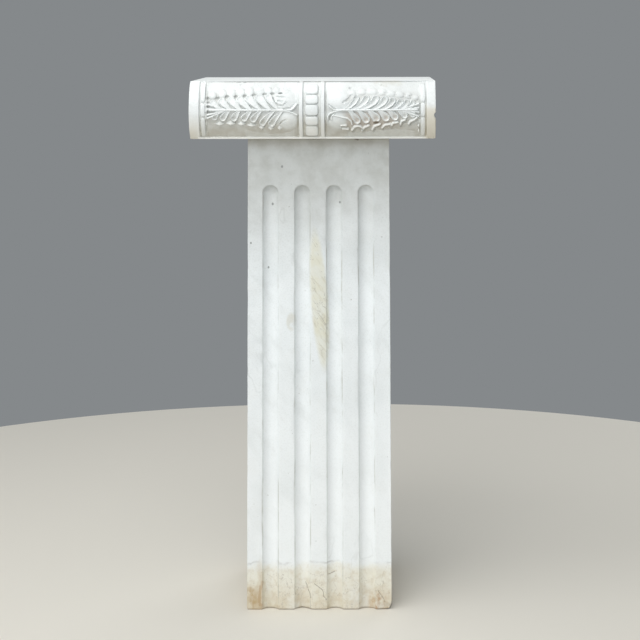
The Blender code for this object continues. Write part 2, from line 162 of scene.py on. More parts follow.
def noise(a, b, size, seed):
    """Soft noise from -1 to 1 over two coordinates in metres, with bumps of this size."""
    table = np.random.default_rng(seed).uniform(-1.0, 1.0, (64, 64))
    u = np.asarray(a) / size + 900.0
    v = np.asarray(b) / size + 900.0
    u, v = np.broadcast_arrays(u, v)
    left, low = np.floor(u).astype(int), np.floor(v).astype(int)
    s, t = ease(u - left), ease(v - low)
    one = table[left % 64, low % 64] * (1 - s) + table[(left + 1) % 64, low % 64] * s
    two = table[left % 64, (low + 1) % 64] * (1 - s) + table[(left + 1) % 64, (low + 1) % 64] * s
    return one * (1 - t) + two * t


def rough(a, b, size, seed):
    """Three layers of noise, each half as large as the one before."""
    total = noise(a, b, size, seed)
    total = total + 0.5 * noise(a, b, size / 2.1, seed + 1)
    return (total + 0.25 * noise(a, b, size / 4.3, seed + 2)) / 1.75


print("noise check:", round(float(noise(0.013, 0.027, 0.01, 5)), 4))

# %% [markdown]
# ## Turning arrays into a mesh
# A surface that is a grid of points, with a depth at each, is easy to work out with arrays. This helper
# takes vertices and faces and makes one smooth-shaded mesh object, whose edges stay sharp where the
# surface turns by more than a set angle. It also keeps one number for each vertex, how deep in the carving
# it lies, so that the finish can put dirt and painted shade into hollows.


# %% Mesh helper
SHARP_DEG = 42.0


def stone_object(name, points, faces, hollow):
    """One smooth-shaded piece, with the depth of the carving at each point."""
    mesh = bpy.data.meshes.new(name)
    mesh.from_pydata(points.tolist(), [], faces)
    mesh.update()
    mesh.shade_smooth()
    mesh.set_sharp_from_angle(angle=math.radians(SHARP_DEG))
    depth = mesh.attributes.new("hollow", "FLOAT", "POINT")
    depth.data.foreach_set("value", np.asarray(hollow, dtype=np.float32))
    made = bpy.data.objects.new(name, mesh)
    bpy.context.scene.collection.objects.link(made)
    triangles = sum(len(face) - 2 for face in faces)
    print(name, "has", triangles, "triangles")
    return made


def thin_out(piece, most):
    """Merge the flattest faces until no more than this many triangles are left."""
    piece.data.calc_loop_triangles()
    before = len(piece.data.loop_triangles)
    piece.modifiers.new("thin", "DECIMATE").ratio = most / before
    graph = bpy.context.evaluated_depsgraph_get()
    thinned = bpy.data.meshes.new_from_object(piece.evaluated_get(graph))
    piece.modifiers.clear()
    piece.data = thinned
    thinned.shade_smooth()
    thinned.set_sharp_from_angle(angle=math.radians(SHARP_DEG))
    thinned.calc_loop_triangles()
    print(piece.name, "thinned from", before, "to", len(thinned.loop_triangles), "triangles")


def grid_faces(index):
    """Quads over a 2-D array of vertex numbers."""
    a, b = index[:-1, :-1].ravel(), index[1:, :-1].ravel()
    c, d = index[1:, 1:].ravel(), index[:-1, 1:].ravel()
    return np.stack([a, b, c, d], axis=1).tolist()


# %% [markdown]
# ## The shaft
# The real shaft is a square block that widens a little toward the foot. Each side has four flutes, which
# stop in a round end below the capital and run out through the foot. One way to cut them is with Boolean
# bars. Here the whole skin is one tall grid instead: a loop of points round the block, repeated at many
# heights, each point pushed in by the depth of the flute there. That makes soft worn arrises easy, because
# the depth can be blended and nicked by listed dents.

# %% Shaft sizes
shaft_low, shaft_high = (np.array(corner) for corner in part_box("shaft"))
SHAFT_HEIGHT = float(shaft_high[2] - shaft_low[2])
SHAFT_MIDDLE = (shaft_low + shaft_high)[:2] / 2
SHAFT_WIDTH = 0.2482
SHAFT_TAPER = 0.022
FLUTE_COUNT = 4
FLUTE_PITCH = 0.0553
FLUTE_WIDTH = 0.0278
FLUTE_DEPTH = 0.0090
FLUTE_STOP = 0.0805
FRONT_SET_LEFT = 0.0010
CORNER_RADIUS = 0.0018
FLUTE_CURVE = (FLUTE_WIDTH**2 / 4 + FLUTE_DEPTH**2) / (2 * FLUTE_DEPTH)
print("shaft:", round(SHAFT_HEIGHT, 4), "m high, flute radius", round(FLUTE_CURVE, 4))


# %% Places of the grid lines
FINE_STEPS = 20
PLAIN_STEPS = 10
LINE_MARGIN = 0.0012
LINE_GAP = 0.0016
LAND_SHARES = (0.42, 0.5, 0.58)
FOOT_LEVELS = (0.0, 0.0006, 0.0013, 0.0022, 0.0034, 0.0048, 0.0066, 0.0088, 0.0112, 0.014)
BODY_STEP = 0.0036
END_STEP = 0.0011
TOP_STEP = 0.0060
TOP_GAPS = (0.004, 0.0018, 0.0007, 0.0)


def face_lines(fine):
    """Places along one face, closer together in and beside the flutes."""
    half = SHAFT_WIDTH / 2 - CORNER_RADIUS
    steps = FINE_STEPS if fine else PLAIN_STEPS
    lines = {-half, half}
    for index in range(FLUTE_COUNT):
        centre = (index - (FLUTE_COUNT - 1) / 2) * FLUTE_PITCH
        edge = FLUTE_WIDTH / 2 + LINE_MARGIN
        lines.update(centre + edge * (2 * k / steps - 1) for k in range(steps + 1))
        lines.update(centre + side * (edge + LINE_GAP) for side in (-1, 1))
        if fine and index < FLUTE_COUNT - 1:
            lines.update(centre + FLUTE_PITCH * share for share in LAND_SHARES)
    return sorted(lines)


def height_lines():
    """Heights of the loops, closer together at the flute ends and at the foot."""
    stop = SHAFT_HEIGHT - FLUTE_STOP
    body = np.arange(0.0175, stop - 0.022, BODY_STEP).tolist()
    ends = np.arange(stop - 0.020, stop + 0.004, END_STEP).tolist()
    top = np.arange(stop + 0.007, SHAFT_HEIGHT - 0.006, TOP_STEP).tolist()
    return [*FOOT_LEVELS, *body, *ends, *top, *(SHAFT_HEIGHT - gap for gap in TOP_GAPS)]


levels = np.array(height_lines())
print("shaft loops:", len(levels))

# %% [markdown]
# Each arris of a flute wavers by a fraction of a millimetre and has lost its sharpness. A flute's depth is
# a round hollow, joined to the flat land by a blend whose size changes along the edge, wide where the edge
# was knocked.


# %% Flute depth
ARRIS_BLEND = 0.0007
FLUTE_WAVER = 0.0008
SURFACE_WAVE = 0.00022
WAVER_LENGTH = 0.045
WEAR_LENGTH = 0.030
WAVE_LENGTH = 0.050

# Nicks on the front, as place along the face, height, half width, half height, depth
FRONT_NICKS = (
    (-0.0972, 0.432, 0.0030, 0.0140, 0.0014),
    (-0.0972, 0.465, 0.0022, 0.0080, 0.0010),
    (-0.0690, 0.560, 0.0024, 0.0110, 0.0011),
    (-0.0985, 0.205, 0.0022, 0.0160, 0.0010),
    (-0.0415, 0.610, 0.0024, 0.0100, 0.0012),
    (-0.0412, 0.395, 0.0020, 0.0170, 0.0010),
    (-0.0140, 0.520, 0.0022, 0.0120, 0.0010),
    (0.0135, 0.640, 0.0018, 0.0090, 0.0010),
    (0.0410, 0.300, 0.0020, 0.0150, 0.0010),
    (0.0690, 0.465, 0.0020, 0.0120, 0.0009),
    (0.0960, 0.250, 0.0020, 0.0130, 0.0010),
)


def flute_depth(along, height, face):
    """Depth below the flat face, over grids of place and height."""
    shift = FRONT_SET_LEFT if face == 0 else 0.0
    stop = SHAFT_HEIGHT - FLUTE_STOP - FLUTE_WIDTH / 2
    depth = np.zeros_like(along)
    for index in range(FLUTE_COUNT):
        seed = 100 + 20 * face + 4 * index
        centre = (index - (FLUTE_COUNT - 1) / 2) * FLUTE_PITCH - shift
        side = np.sign(along - centre)
        waver = FLUTE_WAVER * rough(height, side, WAVER_LENGTH, seed) * side
        reach = np.hypot(along - centre, np.maximum(height - stop, 0.0)) + waver * ease(
            (stop - height) / 0.02
        )
        bowl = np.sqrt(np.maximum(FLUTE_CURVE**2 - reach**2, 0.0)) - (FLUTE_CURVE - FLUTE_DEPTH)
        bowl = np.where(reach > FLUTE_CURVE, -FLUTE_DEPTH, bowl)
        worn = ARRIS_BLEND * (1.0 + 1.1 * np.maximum(rough(height, side, WEAR_LENGTH, seed + 2), 0.0))
        here = 0.5 * (bowl + np.sqrt(bowl**2 + worn**2))
        depth = np.maximum(depth, np.where(reach < 1.6 * FLUTE_WIDTH / 2, here, 0.0))
    return depth + SURFACE_WAVE * (1 + rough(along, height, WAVE_LENGTH, 300 + face))


def nick_depth(along, height):
    """Extra depth of the nicks in the front arrises."""
    depth = np.zeros_like(along)
    for place, level, wide, tall, deep in FRONT_NICKS:
        away = ((along - place) / wide) ** 2 + ((height - level) / tall) ** 2
        depth = depth + deep * np.clip(1.0 - away, 0.0, 1.0)
    return depth


print("nicks in the front arrises:", len(FRONT_NICKS))

# %% Shaft mesh
CORNER_STEPS = 4


def loop_lines():
    """For each point round the block: face, place on it, corner turn from 0 to 1."""
    points = []
    for face in range(4):
        for place in face_lines(fine=face == 0):
            points.append((face, place, 0.0))
        for step in range(1, CORNER_STEPS):
            points.append((face, SHAFT_WIDTH / 2 - CORNER_RADIUS, step / CORNER_STEPS))
    return points


loop = loop_lines()
face_of = np.array([point[0] for point in loop])
place_of = np.array([point[1] for point in loop])
turn_of = np.array([point[2] for point in loop])
angle_of = 0.5 * math.pi * face_of
bend_of = angle_of + 0.5 * math.pi * turn_of
outward = np.stack([np.sin(bend_of), -np.cos(bend_of)], axis=1)
sideways = np.stack([np.cos(angle_of), np.sin(angle_of)], axis=1)
straight_out = np.stack([np.sin(angle_of), -np.cos(angle_of)], axis=1)
core = place_of[:, None] * sideways + (SHAFT_WIDTH / 2 - CORNER_RADIUS) * straight_out
outline = core + CORNER_RADIUS * outward
print("points round the shaft:", len(loop))

# %% [markdown]
# The foot is chipped all along its edge, and the front right corner has lost a piece 17 mm high. A
# chip is a small flat break, so points that lie past its plane are moved back onto the plane.

# %% Chips at the foot and along the corners
CORNER_BREAK_HEIGHT = 0.017
CORNER_BREAK_WIDTH = 0.0068
LEFT_BREAK_HEIGHT = 0.008
LEFT_BREAK_WIDTH = 0.0035
BREAK_GRAIN = 0.0004
FOOT_CHIP_LEAST = 0.0010
FOOT_CHIP_MORE = 0.0042
FOOT_CHIP_LENGTH = 0.016
CORNER_WEAR_LEAST = 0.0003
CORNER_WEAR_MORE = 0.0010
CORNER_WEAR_LENGTH = 0.028
TOP_EASE = 0.0010
TOP_EASE_HEIGHT = 0.0018


def foot_wear(round_place, height):
    """How far the foot's edge is broken back at each place round the block."""
    ragged = rough(round_place, 0.0, FOOT_CHIP_LENGTH, 410)
    size = FOOT_CHIP_LEAST + FOOT_CHIP_MORE * np.maximum(ragged, 0.0) ** 1.5
    return np.maximum(size - height, 0.0) * 0.9


def corner_wear(height, face):
    """How far a corner is worn back at each height."""
    worn = rough(height, 0.37 * face, CORNER_WEAR_LENGTH, 430)
    return CORNER_WEAR_LEAST + CORNER_WEAR_MORE * np.maximum(worn, 0.0) ** 1.3


def break_off(points, normal, through, grain_seed):
    """Move what lies past a plane back onto it, with a little roughness."""
    normal = np.array(normal) / np.linalg.norm(normal)
    past = (points - np.array(through)) @ normal
    grain = BREAK_GRAIN * rough(points[:, 0] + points[:, 1], points[:, 2], 0.004, grain_seed)
    shift = np.maximum(past + grain * (past > 0), 0.0)
    return points - shift[:, None] * normal


print("break at the corner:", round(1000 * CORNER_BREAK_HEIGHT, 1), "mm high")

# %% Build the shaft
depth_rows = np.zeros((len(levels), len(loop)))
for face in range(4):
    mine = (face_of == face) & (turn_of == 0)
    along, height = np.meshgrid(place_of[mine], levels)
    depth_rows[:, mine] = flute_depth(along, height, face)
shaft_hollow = np.clip((depth_rows - 2 * SURFACE_WAVE) / FLUTE_DEPTH, 0, 1).reshape(-1)
on_front = (face_of == 0) & (turn_of == 0)
depth_rows[:, on_front] += nick_depth(*np.meshgrid(place_of[on_front], levels))
round_place = place_of + face_of * SHAFT_WIDTH
depth_rows += foot_wear(round_place[None, :], levels[:, None])
near_corner = np.maximum(turn_of > 0, np.abs(place_of) > SHAFT_WIDTH / 2 - 1.2 * CORNER_RADIUS)
corner_number = np.where(place_of > 0, face_of, (face_of - 1) % 4)
depth_rows += near_corner * corner_wear(levels[:, None], corner_number[None, :])
top_gap = SHAFT_HEIGHT - levels
depth_rows += (TOP_EASE * np.clip(1 - top_gap / TOP_EASE_HEIGHT, 0, 1) ** 2)[:, None]

flat = outline[None, :, :] - depth_rows[:, :, None] * outward[None, :, :]
widen = 1.0 + SHAFT_TAPER * (0.5 - levels / SHAFT_HEIGHT)
flat = flat * widen[:, None, None] + SHAFT_MIDDLE
tall = np.broadcast_to(levels[:, None], flat.shape[:2]) + shaft_low[2]
shaft_points = np.concatenate([flat, tall[:, :, None]], axis=2).reshape(-1, 3)

foot_half = 0.5 * SHAFT_WIDTH * (1 + SHAFT_TAPER / 2)
right_corner = (SHAFT_MIDDLE[0] + foot_half, SHAFT_MIDDLE[1] - foot_half, 0.0)
left_corner = (SHAFT_MIDDLE[0] - foot_half, SHAFT_MIDDLE[1] - foot_half, 0.0)
shaft_points = break_off(
    shaft_points,
    (1.0, -0.35, -CORNER_BREAK_WIDTH / CORNER_BREAK_HEIGHT),
    (right_corner[0] - CORNER_BREAK_WIDTH, right_corner[1], 0.0),
    450,
)
shaft_points = break_off(
    shaft_points,
    (-1.0, -0.8, -LEFT_BREAK_WIDTH / LEFT_BREAK_HEIGHT),
    (left_corner[0] + LEFT_BREAK_WIDTH, left_corner[1], 0.0),
    451,
)

index = np.arange(len(shaft_points)).reshape(len(levels), len(loop))
closed = np.concatenate([index, index[:, :1]], axis=1)
shaft_faces = [face[::-1] for face in grid_faces(closed)]
shaft_faces.append(index[0].tolist()[::-1])
shaft_faces.append(index[-1].tolist())
shaft_piece = stone_object("fluted_shaft", shaft_points, shaft_faces, shaft_hollow)
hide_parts("shaft")
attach(shaft_piece, "root")
print("shaft mesh:", len(shaft_piece.data.polygons), "faces")

# %% [markdown]
# ## The capital
# Seen from the front this is the long side of an Ionic capital. The roll between two scrolls is called a
# bolster. It wears a belt of beads round its middle, and one long acanthus leaf lies on each side of the
# belt, with its tip at the end band. The mason sank the ground by 5 mm and left the leaves to stand.
#
# A sculptor could model this in sculpt mode. It is worked out here instead: the roll is unrolled into a flat
# map, with the distance from the belt across and the height up, and each part of the ornament gives a
# height on that map. The highest part wins, and the result is the depth of the carving.

# %% Capital sizes
capital_low, capital_high = (np.array(corner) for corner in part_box("capital"))
LENGTH = float(capital_high[0] - capital_low[0])
HALF_HEIGHT = float(capital_high[2] - capital_low[2]) / 2
HALF_DEPTH = float(capital_high[1] - capital_low[1]) / 2
MIDDLE = (capital_low + capital_high) / 2
BOLSTER_RADIUS = 0.0567
PANEL_SINK = 0.0050
BELT_SET_LEFT = 0.0011
BEAD_HALF_WIDTH = 0.0119
BELT_GAP = 0.0028
BELT_FILLET = 0.0078
BELT_HALF = BEAD_HALF_WIDTH + BELT_GAP + BELT_FILLET
BEAD_JOINTS_DEG = (-54.0, -28.5, -10.2, 11.2, 29.6, 53.0)
BLOCK_JOINTS_DEG = (-54.0, -11.8, 13.8, 55.0)
END_BAND = {-1: 0.0174, 1: 0.0151}
BAND_GROOVE = 0.0028
BLOCK_BAND = 0.0080
BAND_SLOT = 0.0030
print("capital:", round(LENGTH, 4), "x", round(2 * HALF_DEPTH, 4), "x", round(2 * HALF_HEIGHT, 4))


def panel_edges(side):
    """Distances from the belt's middle to the leaf panel's end, the two edges of the
    block band, the plain end band and the end face. side is -1 left and 1 right."""
    face = LENGTH / 2 + side * BELT_SET_LEFT
    plain = face - END_BAND[side]
    block_end = plain - BAND_GROOVE
    block_start = block_end - BLOCK_BAND
    return block_start - BAND_SLOT, block_start, block_end, plain, face


# %% [markdown]
# ### Strokes
# The ornament is drawn with a few strokes. A bar is a ridge along a line of points. A mound is a low dome.
# A loop is one blade of the leaf: a raised rim round a hollow, narrow at its foot on the rib and round at
# its end. Its middle line is bent, so that it leaves the rib at a slant and then turns outward, as the
# barbs of a feather do. All places are in millimetres, counted out from the belt and up from the rib.


# %% Strokes
MM = 0.001


def along_bar(out, rise, start, end):
    """Distance from a straight bar, and how far along it the nearest point is."""
    run = (end[0] - start[0], end[1] - start[1])
    share = ((out - start[0]) * run[0] + (rise - start[1]) * run[1]) / (run[0] ** 2 + run[1] ** 2)
    share = np.clip(share, 0.0, 1.0)
    away = np.hypot(out - start[0] - share * run[0], rise - start[1] - share * run[1])
    return away, share


def bar(out, rise, points, half_width):
    """A rounded ridge along a line of points, 1 at its crest."""
    away = np.full_like(out, 1000.0)
    for start, end in zip(points, points[1:]):
        away = np.minimum(away, along_bar(out, rise, start, end)[0])
    return np.clip(1.0 - (away / half_width) ** 2, 0.0, 1.0) ** 0.7


def mound(out, rise, centre, size, power=0.6):
    """A low dome, as wide and tall as size says. A higher power lets it fade out at its edge."""
    share = np.hypot((out - centre[0]) / size[0], (rise - centre[1]) / size[1])
    return np.clip(1 - share**2, 0.0, 1.0) ** power


def tip(out, rise, centre, size):
    """A small pointed head."""
    share = np.abs(out - centre[0]) / size[0] + np.abs(rise - centre[1]) / size[1]
    return np.clip(1.3 - share, 0.0, 1.0) ** 0.5


print("dome at its middle:", float(mound(0.0, 0.0, (0.0, 0.0), (1.0, 1.0))))

# %% Loop
RIB_RISE = 0.8
LOOP_CREST = 0.69
LOOP_BENDS = {
    "steep": ((0.42, 0.34), (0.80, 0.74), (1.0, 1.0)),
    "swept": ((0.54, 0.30), (0.86, 0.68), (1.0, 1.0)),
}


def loop(out, rise, foot, end, radius, bend, floor_height):
    """One blade of the leaf, from its foot on the rib to the middle of its round end."""
    line = [(foot, RIB_RISE)]
    for across, up in LOOP_BENDS[bend]:
        line.append((foot + across * (end[0] - foot), RIB_RISE + up * (end[1] - RIB_RISE)))
    waists = (1.5, 0.62 * radius, 0.90 * radius, radius)
    share = np.full_like(out, 9.0)
    reach = np.zeros_like(out)
    for number, (start, stop) in enumerate(zip(line, line[1:])):
        away, run = along_bar(out, rise, start, stop)
        here = away / (waists[number] + (waists[number + 1] - waists[number]) * run)
        nearer = here < share
        share = np.where(nearer, here, share)
        reach = np.where(nearer, (number + run) / 3, reach)
    dish = 0.90 - (0.90 - floor_height) * reach
    hollow = dish + (1 - dish) * np.clip(share / LOOP_CREST, 0.0, 1.0) ** 3
    slope = np.clip(1 - ((share - LOOP_CREST) / (1 - LOOP_CREST)) ** 2, 0.0, 1.0)
    return np.where(share < LOOP_CREST, hollow, slope)


print("loop crest at", LOOP_CREST, "of its radius")

# %% [markdown]
# ### The four half leaves
# No two halves are alike on the real stone, so each has a table of its own. A loop's row gives its foot on
# the rib, the middle of its round end, and its radius. Behind the loops lies a second row of blades. On the
# lower left only its small points show. On the lower right its tips curl up like breaking waves. On both
# upper halves round heads stand behind the loops, with a drilled hole in each notch, deep on the left and
# shallow on the right.

# %% Loop tables
LOOPS = {
    (-1, -1): (
        (157, 166, -12.6, 5.6), (139.5, 151.5, -13, 6.6), (122, 132.8, -13.4, 6.9),
        (101.5, 115.2, -13.6, 6.9), (84.5, 99.8, -15.6, 6.8), (62, 84, -21.8, 6.6),
        (48, 68.6, -23.2, 6.8),
    ),
    (-1, 1): (
        (153, 168.5, 14, 6), (137, 153.5, 16.5, 7.2), (119, 137.8, 18.5, 7.4), (102, 122.3, 19, 7.6),
        (85, 106.8, 20.5, 7.8), (69, 89.5, 22, 8.2), (56, 73.5, 23, 7),
    ),
    (1, 1): (
        (55, 76, 21.2, 6.2), (66, 93.5, 20.6, 6.8), (79, 109.8, 20.2, 7), (101, 125, 19.2, 6.8),
        (117, 138.5, 16.8, 6.4), (134, 151.5, 14.8, 6.2), (147, 162.5, 14, 5.6),
        (159, 172.5, 13.2, 5.2),
    ),
    (1, -1): (
        (62, 77.8, -18, 7.2), (78, 93.2, -16.6, 7.4), (95, 110.2, -14.2, 8.2), (113, 127.2, -13.2, 7.6),
        (129, 142.6, -12, 7.2), (146, 159, -9.4, 6.4), (161, 173, -8, 5.6),
    ),
}
LOOP_BEND = {(-1, -1): "steep", (-1, 1): "steep", (1, 1): "swept", (1, -1): "steep"}
LOOP_FLOOR = {(-1, -1): 0.05, (-1, 1): 0.72, (1, 1): 0.12, (1, -1): 0.22}
print("loops:", sum(len(rows) for rows in LOOPS.values()))

# %% Tables of the second row
HEADS = {
    (-1, 1): (
        (170.5, 27, 8, 7), (153.5, 30, 8.2, 8), (137.7, 31.5, 8.2, 8), (122.2, 32.5, 8.2, 8),
        (106.7, 33.5, 8.4, 7.6), (89.7, 34.5, 9, 7), (74, 35, 7.5, 6.5), (60.6, 35.5, 7.2, 6),
    ),
    (1, 1): (
        (67.5, 31.5, 8.5, 6), (85, 33.5, 9, 6), (103.8, 33.8, 9.6, 6.2), (120.5, 33, 8, 6),
        (136, 30, 8.5, 6), (151, 28.5, 8.5, 6), (165, 27, 7.5, 6), (177, 23, 6.5, 5.5),
    ),
    (-1, -1): (
        (158, -24, 7.4, 3.6), (138.5, -23.4, 7.2, 4), (120.4, -24, 6.6, 4), (103.3, -26.4, 7.4, 3.4),
        (86, -30.4, 4.4, 4), (70.5, -31.8, 4.8, 3.8), (55, -31.8, 3.8, 3.8),
    ),
    (1, -1): (),
}
HOLE_FLOOR = {-1: -0.45, 1: 0.15}
HEAD_HIGH = {(-1, 1): 0.60, (1, 1): 0.42, (-1, -1): 1.05, (1, -1): 0.0}
HOLES = {
    (-1, 1): (
        (161.5, 22, 3.6, 2.8), (145.5, 24.6, 3, 3), (130, 24.8, 2.8, 2.6), (114.5, 26.2, 3.4, 2),
        (99, 27.7, 3.8, 2), (80.4, 29.2, 3.4, 1.8), (67.6, 29.8, 3.6, 1.9), (53.7, 30.4, 3.8, 1.6),
        (179, 22, 3.6, 2.6), (178.5, 15, 3.6, 1.9), (178.5, 7.4, 4.4, 2.1), (178.5, -2.6, 4.4, 2.2),
    ),
    (1, 1): (
        (76.6, 34, 2.6, 1.8), (94, 34.6, 3.6, 1.6), (113.2, 31, 2.4, 1.7), (127.5, 30.6, 4.2, 1.3),
        (143.5, 27.6, 3, 1.5), (160, 27.8, 2.2, 2), (169, 25.6, 2.8, 1.6),
    ),
    (-1, -1): (),
    (1, -1): ((110.4, -20.8, 4, 2),),
}
CURLS = (
    ((69, -35), (72.6, -29.4), (78, -27.6), (83, -28.6), (86.5, -32)),
    ((86.5, -36), (90, -30.2), (97.5, -26.8)),
    ((103.6, -34), (107.2, -28), (116.5, -24.6)),
    ((120.4, -30.6), (125.4, -26), (134, -24.4)),
    ((135.4, -28.2), (139, -22.8), (147, -21.2)),
    ((151.4, -25.4), (153.8, -19.4), (159.4, -17)),
    ((165.8, -24.2), (168.4, -19.8), (173.7, -17.6), (179.4, -13.4)),
    ((183.2, -27.4), (187.5, -31)),
    ((183.6, -36.4), (186.6, -37.4)),
    ((50, -26.6), (58.5, -26.8)),
    ((53, -32.4), (62, -33.2)),
)
print("heads and points:", sum(len(rows) for rows in HEADS.values()), "curls:", len(CURLS))

# %% [markdown]
# ### The foot of a leaf
# At the belt the rib forks into a Y round a small hollow, between two broad mounds. The upper left mound is
# cut with a swirl. On the right the lower arm is a bigger curl, with a second one inside it.

# %% Foot of each leaf
WEB = 0.14
MOUNDS = {
    -1: (((49, 17.5), (24, 24.5)), ((41, -17.5), (23, 24))),
    1: (((46, 17.5), (26, 24)), ((44, -18.5), (24, 22))),
}
ARMS = {
    -1: (
        ((52, 0.4), (35, 0.8), (29.7, 5), (25, 11.4)),
        ((52, -0.2), (41.4, -1.7), (32.9, -4.4), (25, -8.6)),
    ),
    1: (
        ((49, 0.2), (38.5, 0.6), (31, 6)),
        ((49, -0.2), (38, -2.6), (30.4, -6.4), (27.4, -11.5), (27.8, -17)),
        ((38, -7.4), (35, -10.2), (34, -16.4)),
        ((38, -9), (52, -12.2), (61, -14), (67.4, -19.4), (69, -25)),
    ),
}
GROOVES = {
    -1: (
        (((48, 2.6), (37.1, 4.6), (30.7, 9.8), (26.4, 15)), 1.5),
        (((66.5, 22.5), (62.5, 13.6), (56.4, 9.2), (48, 9), (43.2, 14.6)), 1.4),
        (((59, 24.8), (46, 22.8)), 1.2),
        (((57.5, 17.4), (50.5, 15.2)), 1.5),
        (((26.4, 22), (31, 33.5), (41.5, 38.5)), 1.2),
        (((43.5, -16.4), (50, -19), (54, -24)), 1.5),
    ),
    1: (
        (((40.8, 2.8), (35.6, 5.6), (29, 10.4)), 1.3),
        (((54, 13.8), (61, 18.6), (68.5, 26.6)), 2.4),
        (((33, -8), (30.8, -12), (31, -17.5)), 1.2),
        (((51, -30), (66, -30.6)), 1.1),
        (((50.5, -35.4), (64.5, -36.2)), 1),
    ),
}
LOW_STEP = {
    -1: (((26, -33), (36, -38.4), (52, -42), (75, -42), (93, -39.4), (118, -34.6)), 0.30),
    1: (((58, -38.5), (86, -39.8), (112, -36.6), (142, -33.6), (180, -38)), 0.34),
}
CHIPS = {
    -1: (((126.5, 48.2), (4, 0.9)), ((115, 48.4), (3.6, 1)), ((121.8, 44.8), (3, 0.8))),
    1: (((66, 39.6), (3, 1)), ((120, 44), (2.4, 1))),
}
FINGERS = {
    -1: ((180.5, 11.6), (180.5, 2.6), (180.5, -8.4), (178, -13.6)),
    1: ((186, 12.4), (186, 4.4), (186, -4), (186, -12)),
}
print("grooves:", sum(len(rows) for rows in GROOVES.values()))


# %% Leaf height
MOUND_HIGH = 0.92
FADE_POWER = 1.4
FORK_HOLLOW = 0.85
GROOVE_DEEP = 0.50
CHIP_DEEP = 0.45
UNDER_CURL_DEEP = 0.45
UNDER_CURL_SHIFT = (2.0, -4.2)

# Height and half width of the other strokes
RIB = (1.10, 2.6)
FINGER = (0.95, 2.2)
ARM = (1.08, 1.9)
CURL = (1.08, 2.7)
UNDER_CURL_HALF = 2.2


def leaf(out, rise, side, detail):
    """Height of one leaf above its ground, 0 to about 1. Places are in millimetres."""
    high = np.zeros_like(out)
    for centre, size in MOUNDS[side]:
        high = np.maximum(high, MOUND_HIGH * mound(out, rise, centre, size, FADE_POWER))
    for up in (1, -1):
        ends = sorted((row[1], abs(row[2]) + 0.4 * row[3]) for row in LOOPS[side, up])
        reach = np.interp(out, [end[0] for end in ends], [end[1] for end in ends])
        inside = ease((reach - up * rise) / 3.0) * ease((ends[-1][0] - out) / 4.0) * (up * rise > 0)
        high = np.maximum(high, WEB * inside)
    high = high * (1 - FORK_HOLLOW * mound(out, rise, (25.5, 1.0), (7.0, 8.0)))
    for up in (1, -1):
        for place_out, place_rise, wide, tall in HEADS[side, up]:
            shape = tip if (side, up) == (-1, -1) else mound
            head = shape(out, rise, (place_out, place_rise), (wide, tall))
            high = np.maximum(high, HEAD_HIGH[side, up] * head)
        for foot, end_out, end_rise, radius in LOOPS[side, up]:
            end = (end_out, end_rise)
            low = LOOP_FLOOR[side, up]
            blade = loop(out, rise, foot, end, radius, LOOP_BEND[side, up], low)
            high = np.maximum(high, blade)
    if side > 0:
        for line in CURLS:
            high = np.maximum(high, CURL[0] * bar(out, rise, line, CURL[1]))
    for line in ARMS[side]:
        high = np.maximum(high, ARM[0] * bar(out, rise, line, ARM[1]))
    last = LOOPS[side, 1][0 if side < 0 else -1][0]
    for end in FINGERS[side]:
        half_way = (0.5 * (last + end[0]), RIB_RISE + 0.62 * (end[1] - RIB_RISE))
        line = ((last - 8.0, RIB_RISE), half_way, end)
        high = np.maximum(high, FINGER[0] * bar(out, rise, line, FINGER[1]))
    rib = ((50.0, 0.2), (last, RIB_RISE), (FINGERS[side][0][0] - 6.0, RIB_RISE))
    high = np.maximum(high, RIB[0] * bar(out, rise, rib, RIB[1]))
    if not detail:
        return high
    for line, half_width in GROOVES[side]:
        high = high - GROOVE_DEEP * bar(out, rise, line, half_width)
    line, step_high = LOW_STEP[side]
    edge = np.interp(out, [place[0] for place in line], [place[1] for place in line])
    ends = ease((out - line[0][0]) / 6.0) * ease((line[-1][0] - out) / 6.0)
    high = np.maximum(high, step_high * ends * ease((edge - rise) / 1.2))
    for centre, size in CHIPS[side]:
        high = high - CHIP_DEEP * mound(out, rise, centre, size)
    for up in (1, -1):
        for place_out, place_rise, wide, tall in HOLES[side, up]:
            drilled = ease(1.6 * mound(out, rise, (place_out, place_rise), (wide, tall)))
            high = high + (HOLE_FLOOR[side] - high) * drilled
    if side > 0:
        for line in CURLS[:7]:
            below = [(x + UNDER_CURL_SHIFT[0], y + UNDER_CURL_SHIFT[1]) for x, y in line]
            high = high - UNDER_CURL_DEEP * bar(out, rise, below, UNDER_CURL_HALF)
    return high


print("rib:", 2 * RIB[1], "mm wide")

# %% [markdown]
# ### Belt, blocks and bands
# The beads of the belt and the long blocks beside the end bands are pillows: flat squares with rounded
# corners and soft edges. A power of four in the distance from the centre gives that shape.


# %% Pillows
def pillows(across, rise, joints, corner=4.0):
    """A column of pillows: 1 on their faces, 0 in the joints. across runs from -1 to 1."""
    angle = np.degrees(np.arcsin(np.clip(rise / BOLSTER_RADIUS, -1, 1)))
    high = np.zeros_like(angle)
    for low, top in zip(joints, joints[1:]):
        up = 2 * (angle - low) / (top - low) - 1
        share = (np.abs(up) ** corner + np.abs(across) ** corner) ** (1 / corner)
        face = 0.80 * ease((1.0 - share) / 0.16) + 0.20 * np.clip(1 - share**2, 0, 1)
        high = np.maximum(high, np.where(share < 1, face, 0.0))
    return high


print("pillow helper ready")

# %% The whole unrolled bolster
TOP_LIP = 0.0006
BOTTOM_LIP = 0.0028
UNDER_LIP = 0.0012
SOFT_EDGE = 0.0012
FILLET_HIGH = 0.93
BEAD_HIGH = 1.02
BELT_SLOT = 0.35
BAND_FLOOR = 0.35
BLOCK_FLOOR = 0.25
BLOCK_RISE = 0.62
GROOVE_FLOOR = 0.05
TOOL_GRAIN = 0.00016


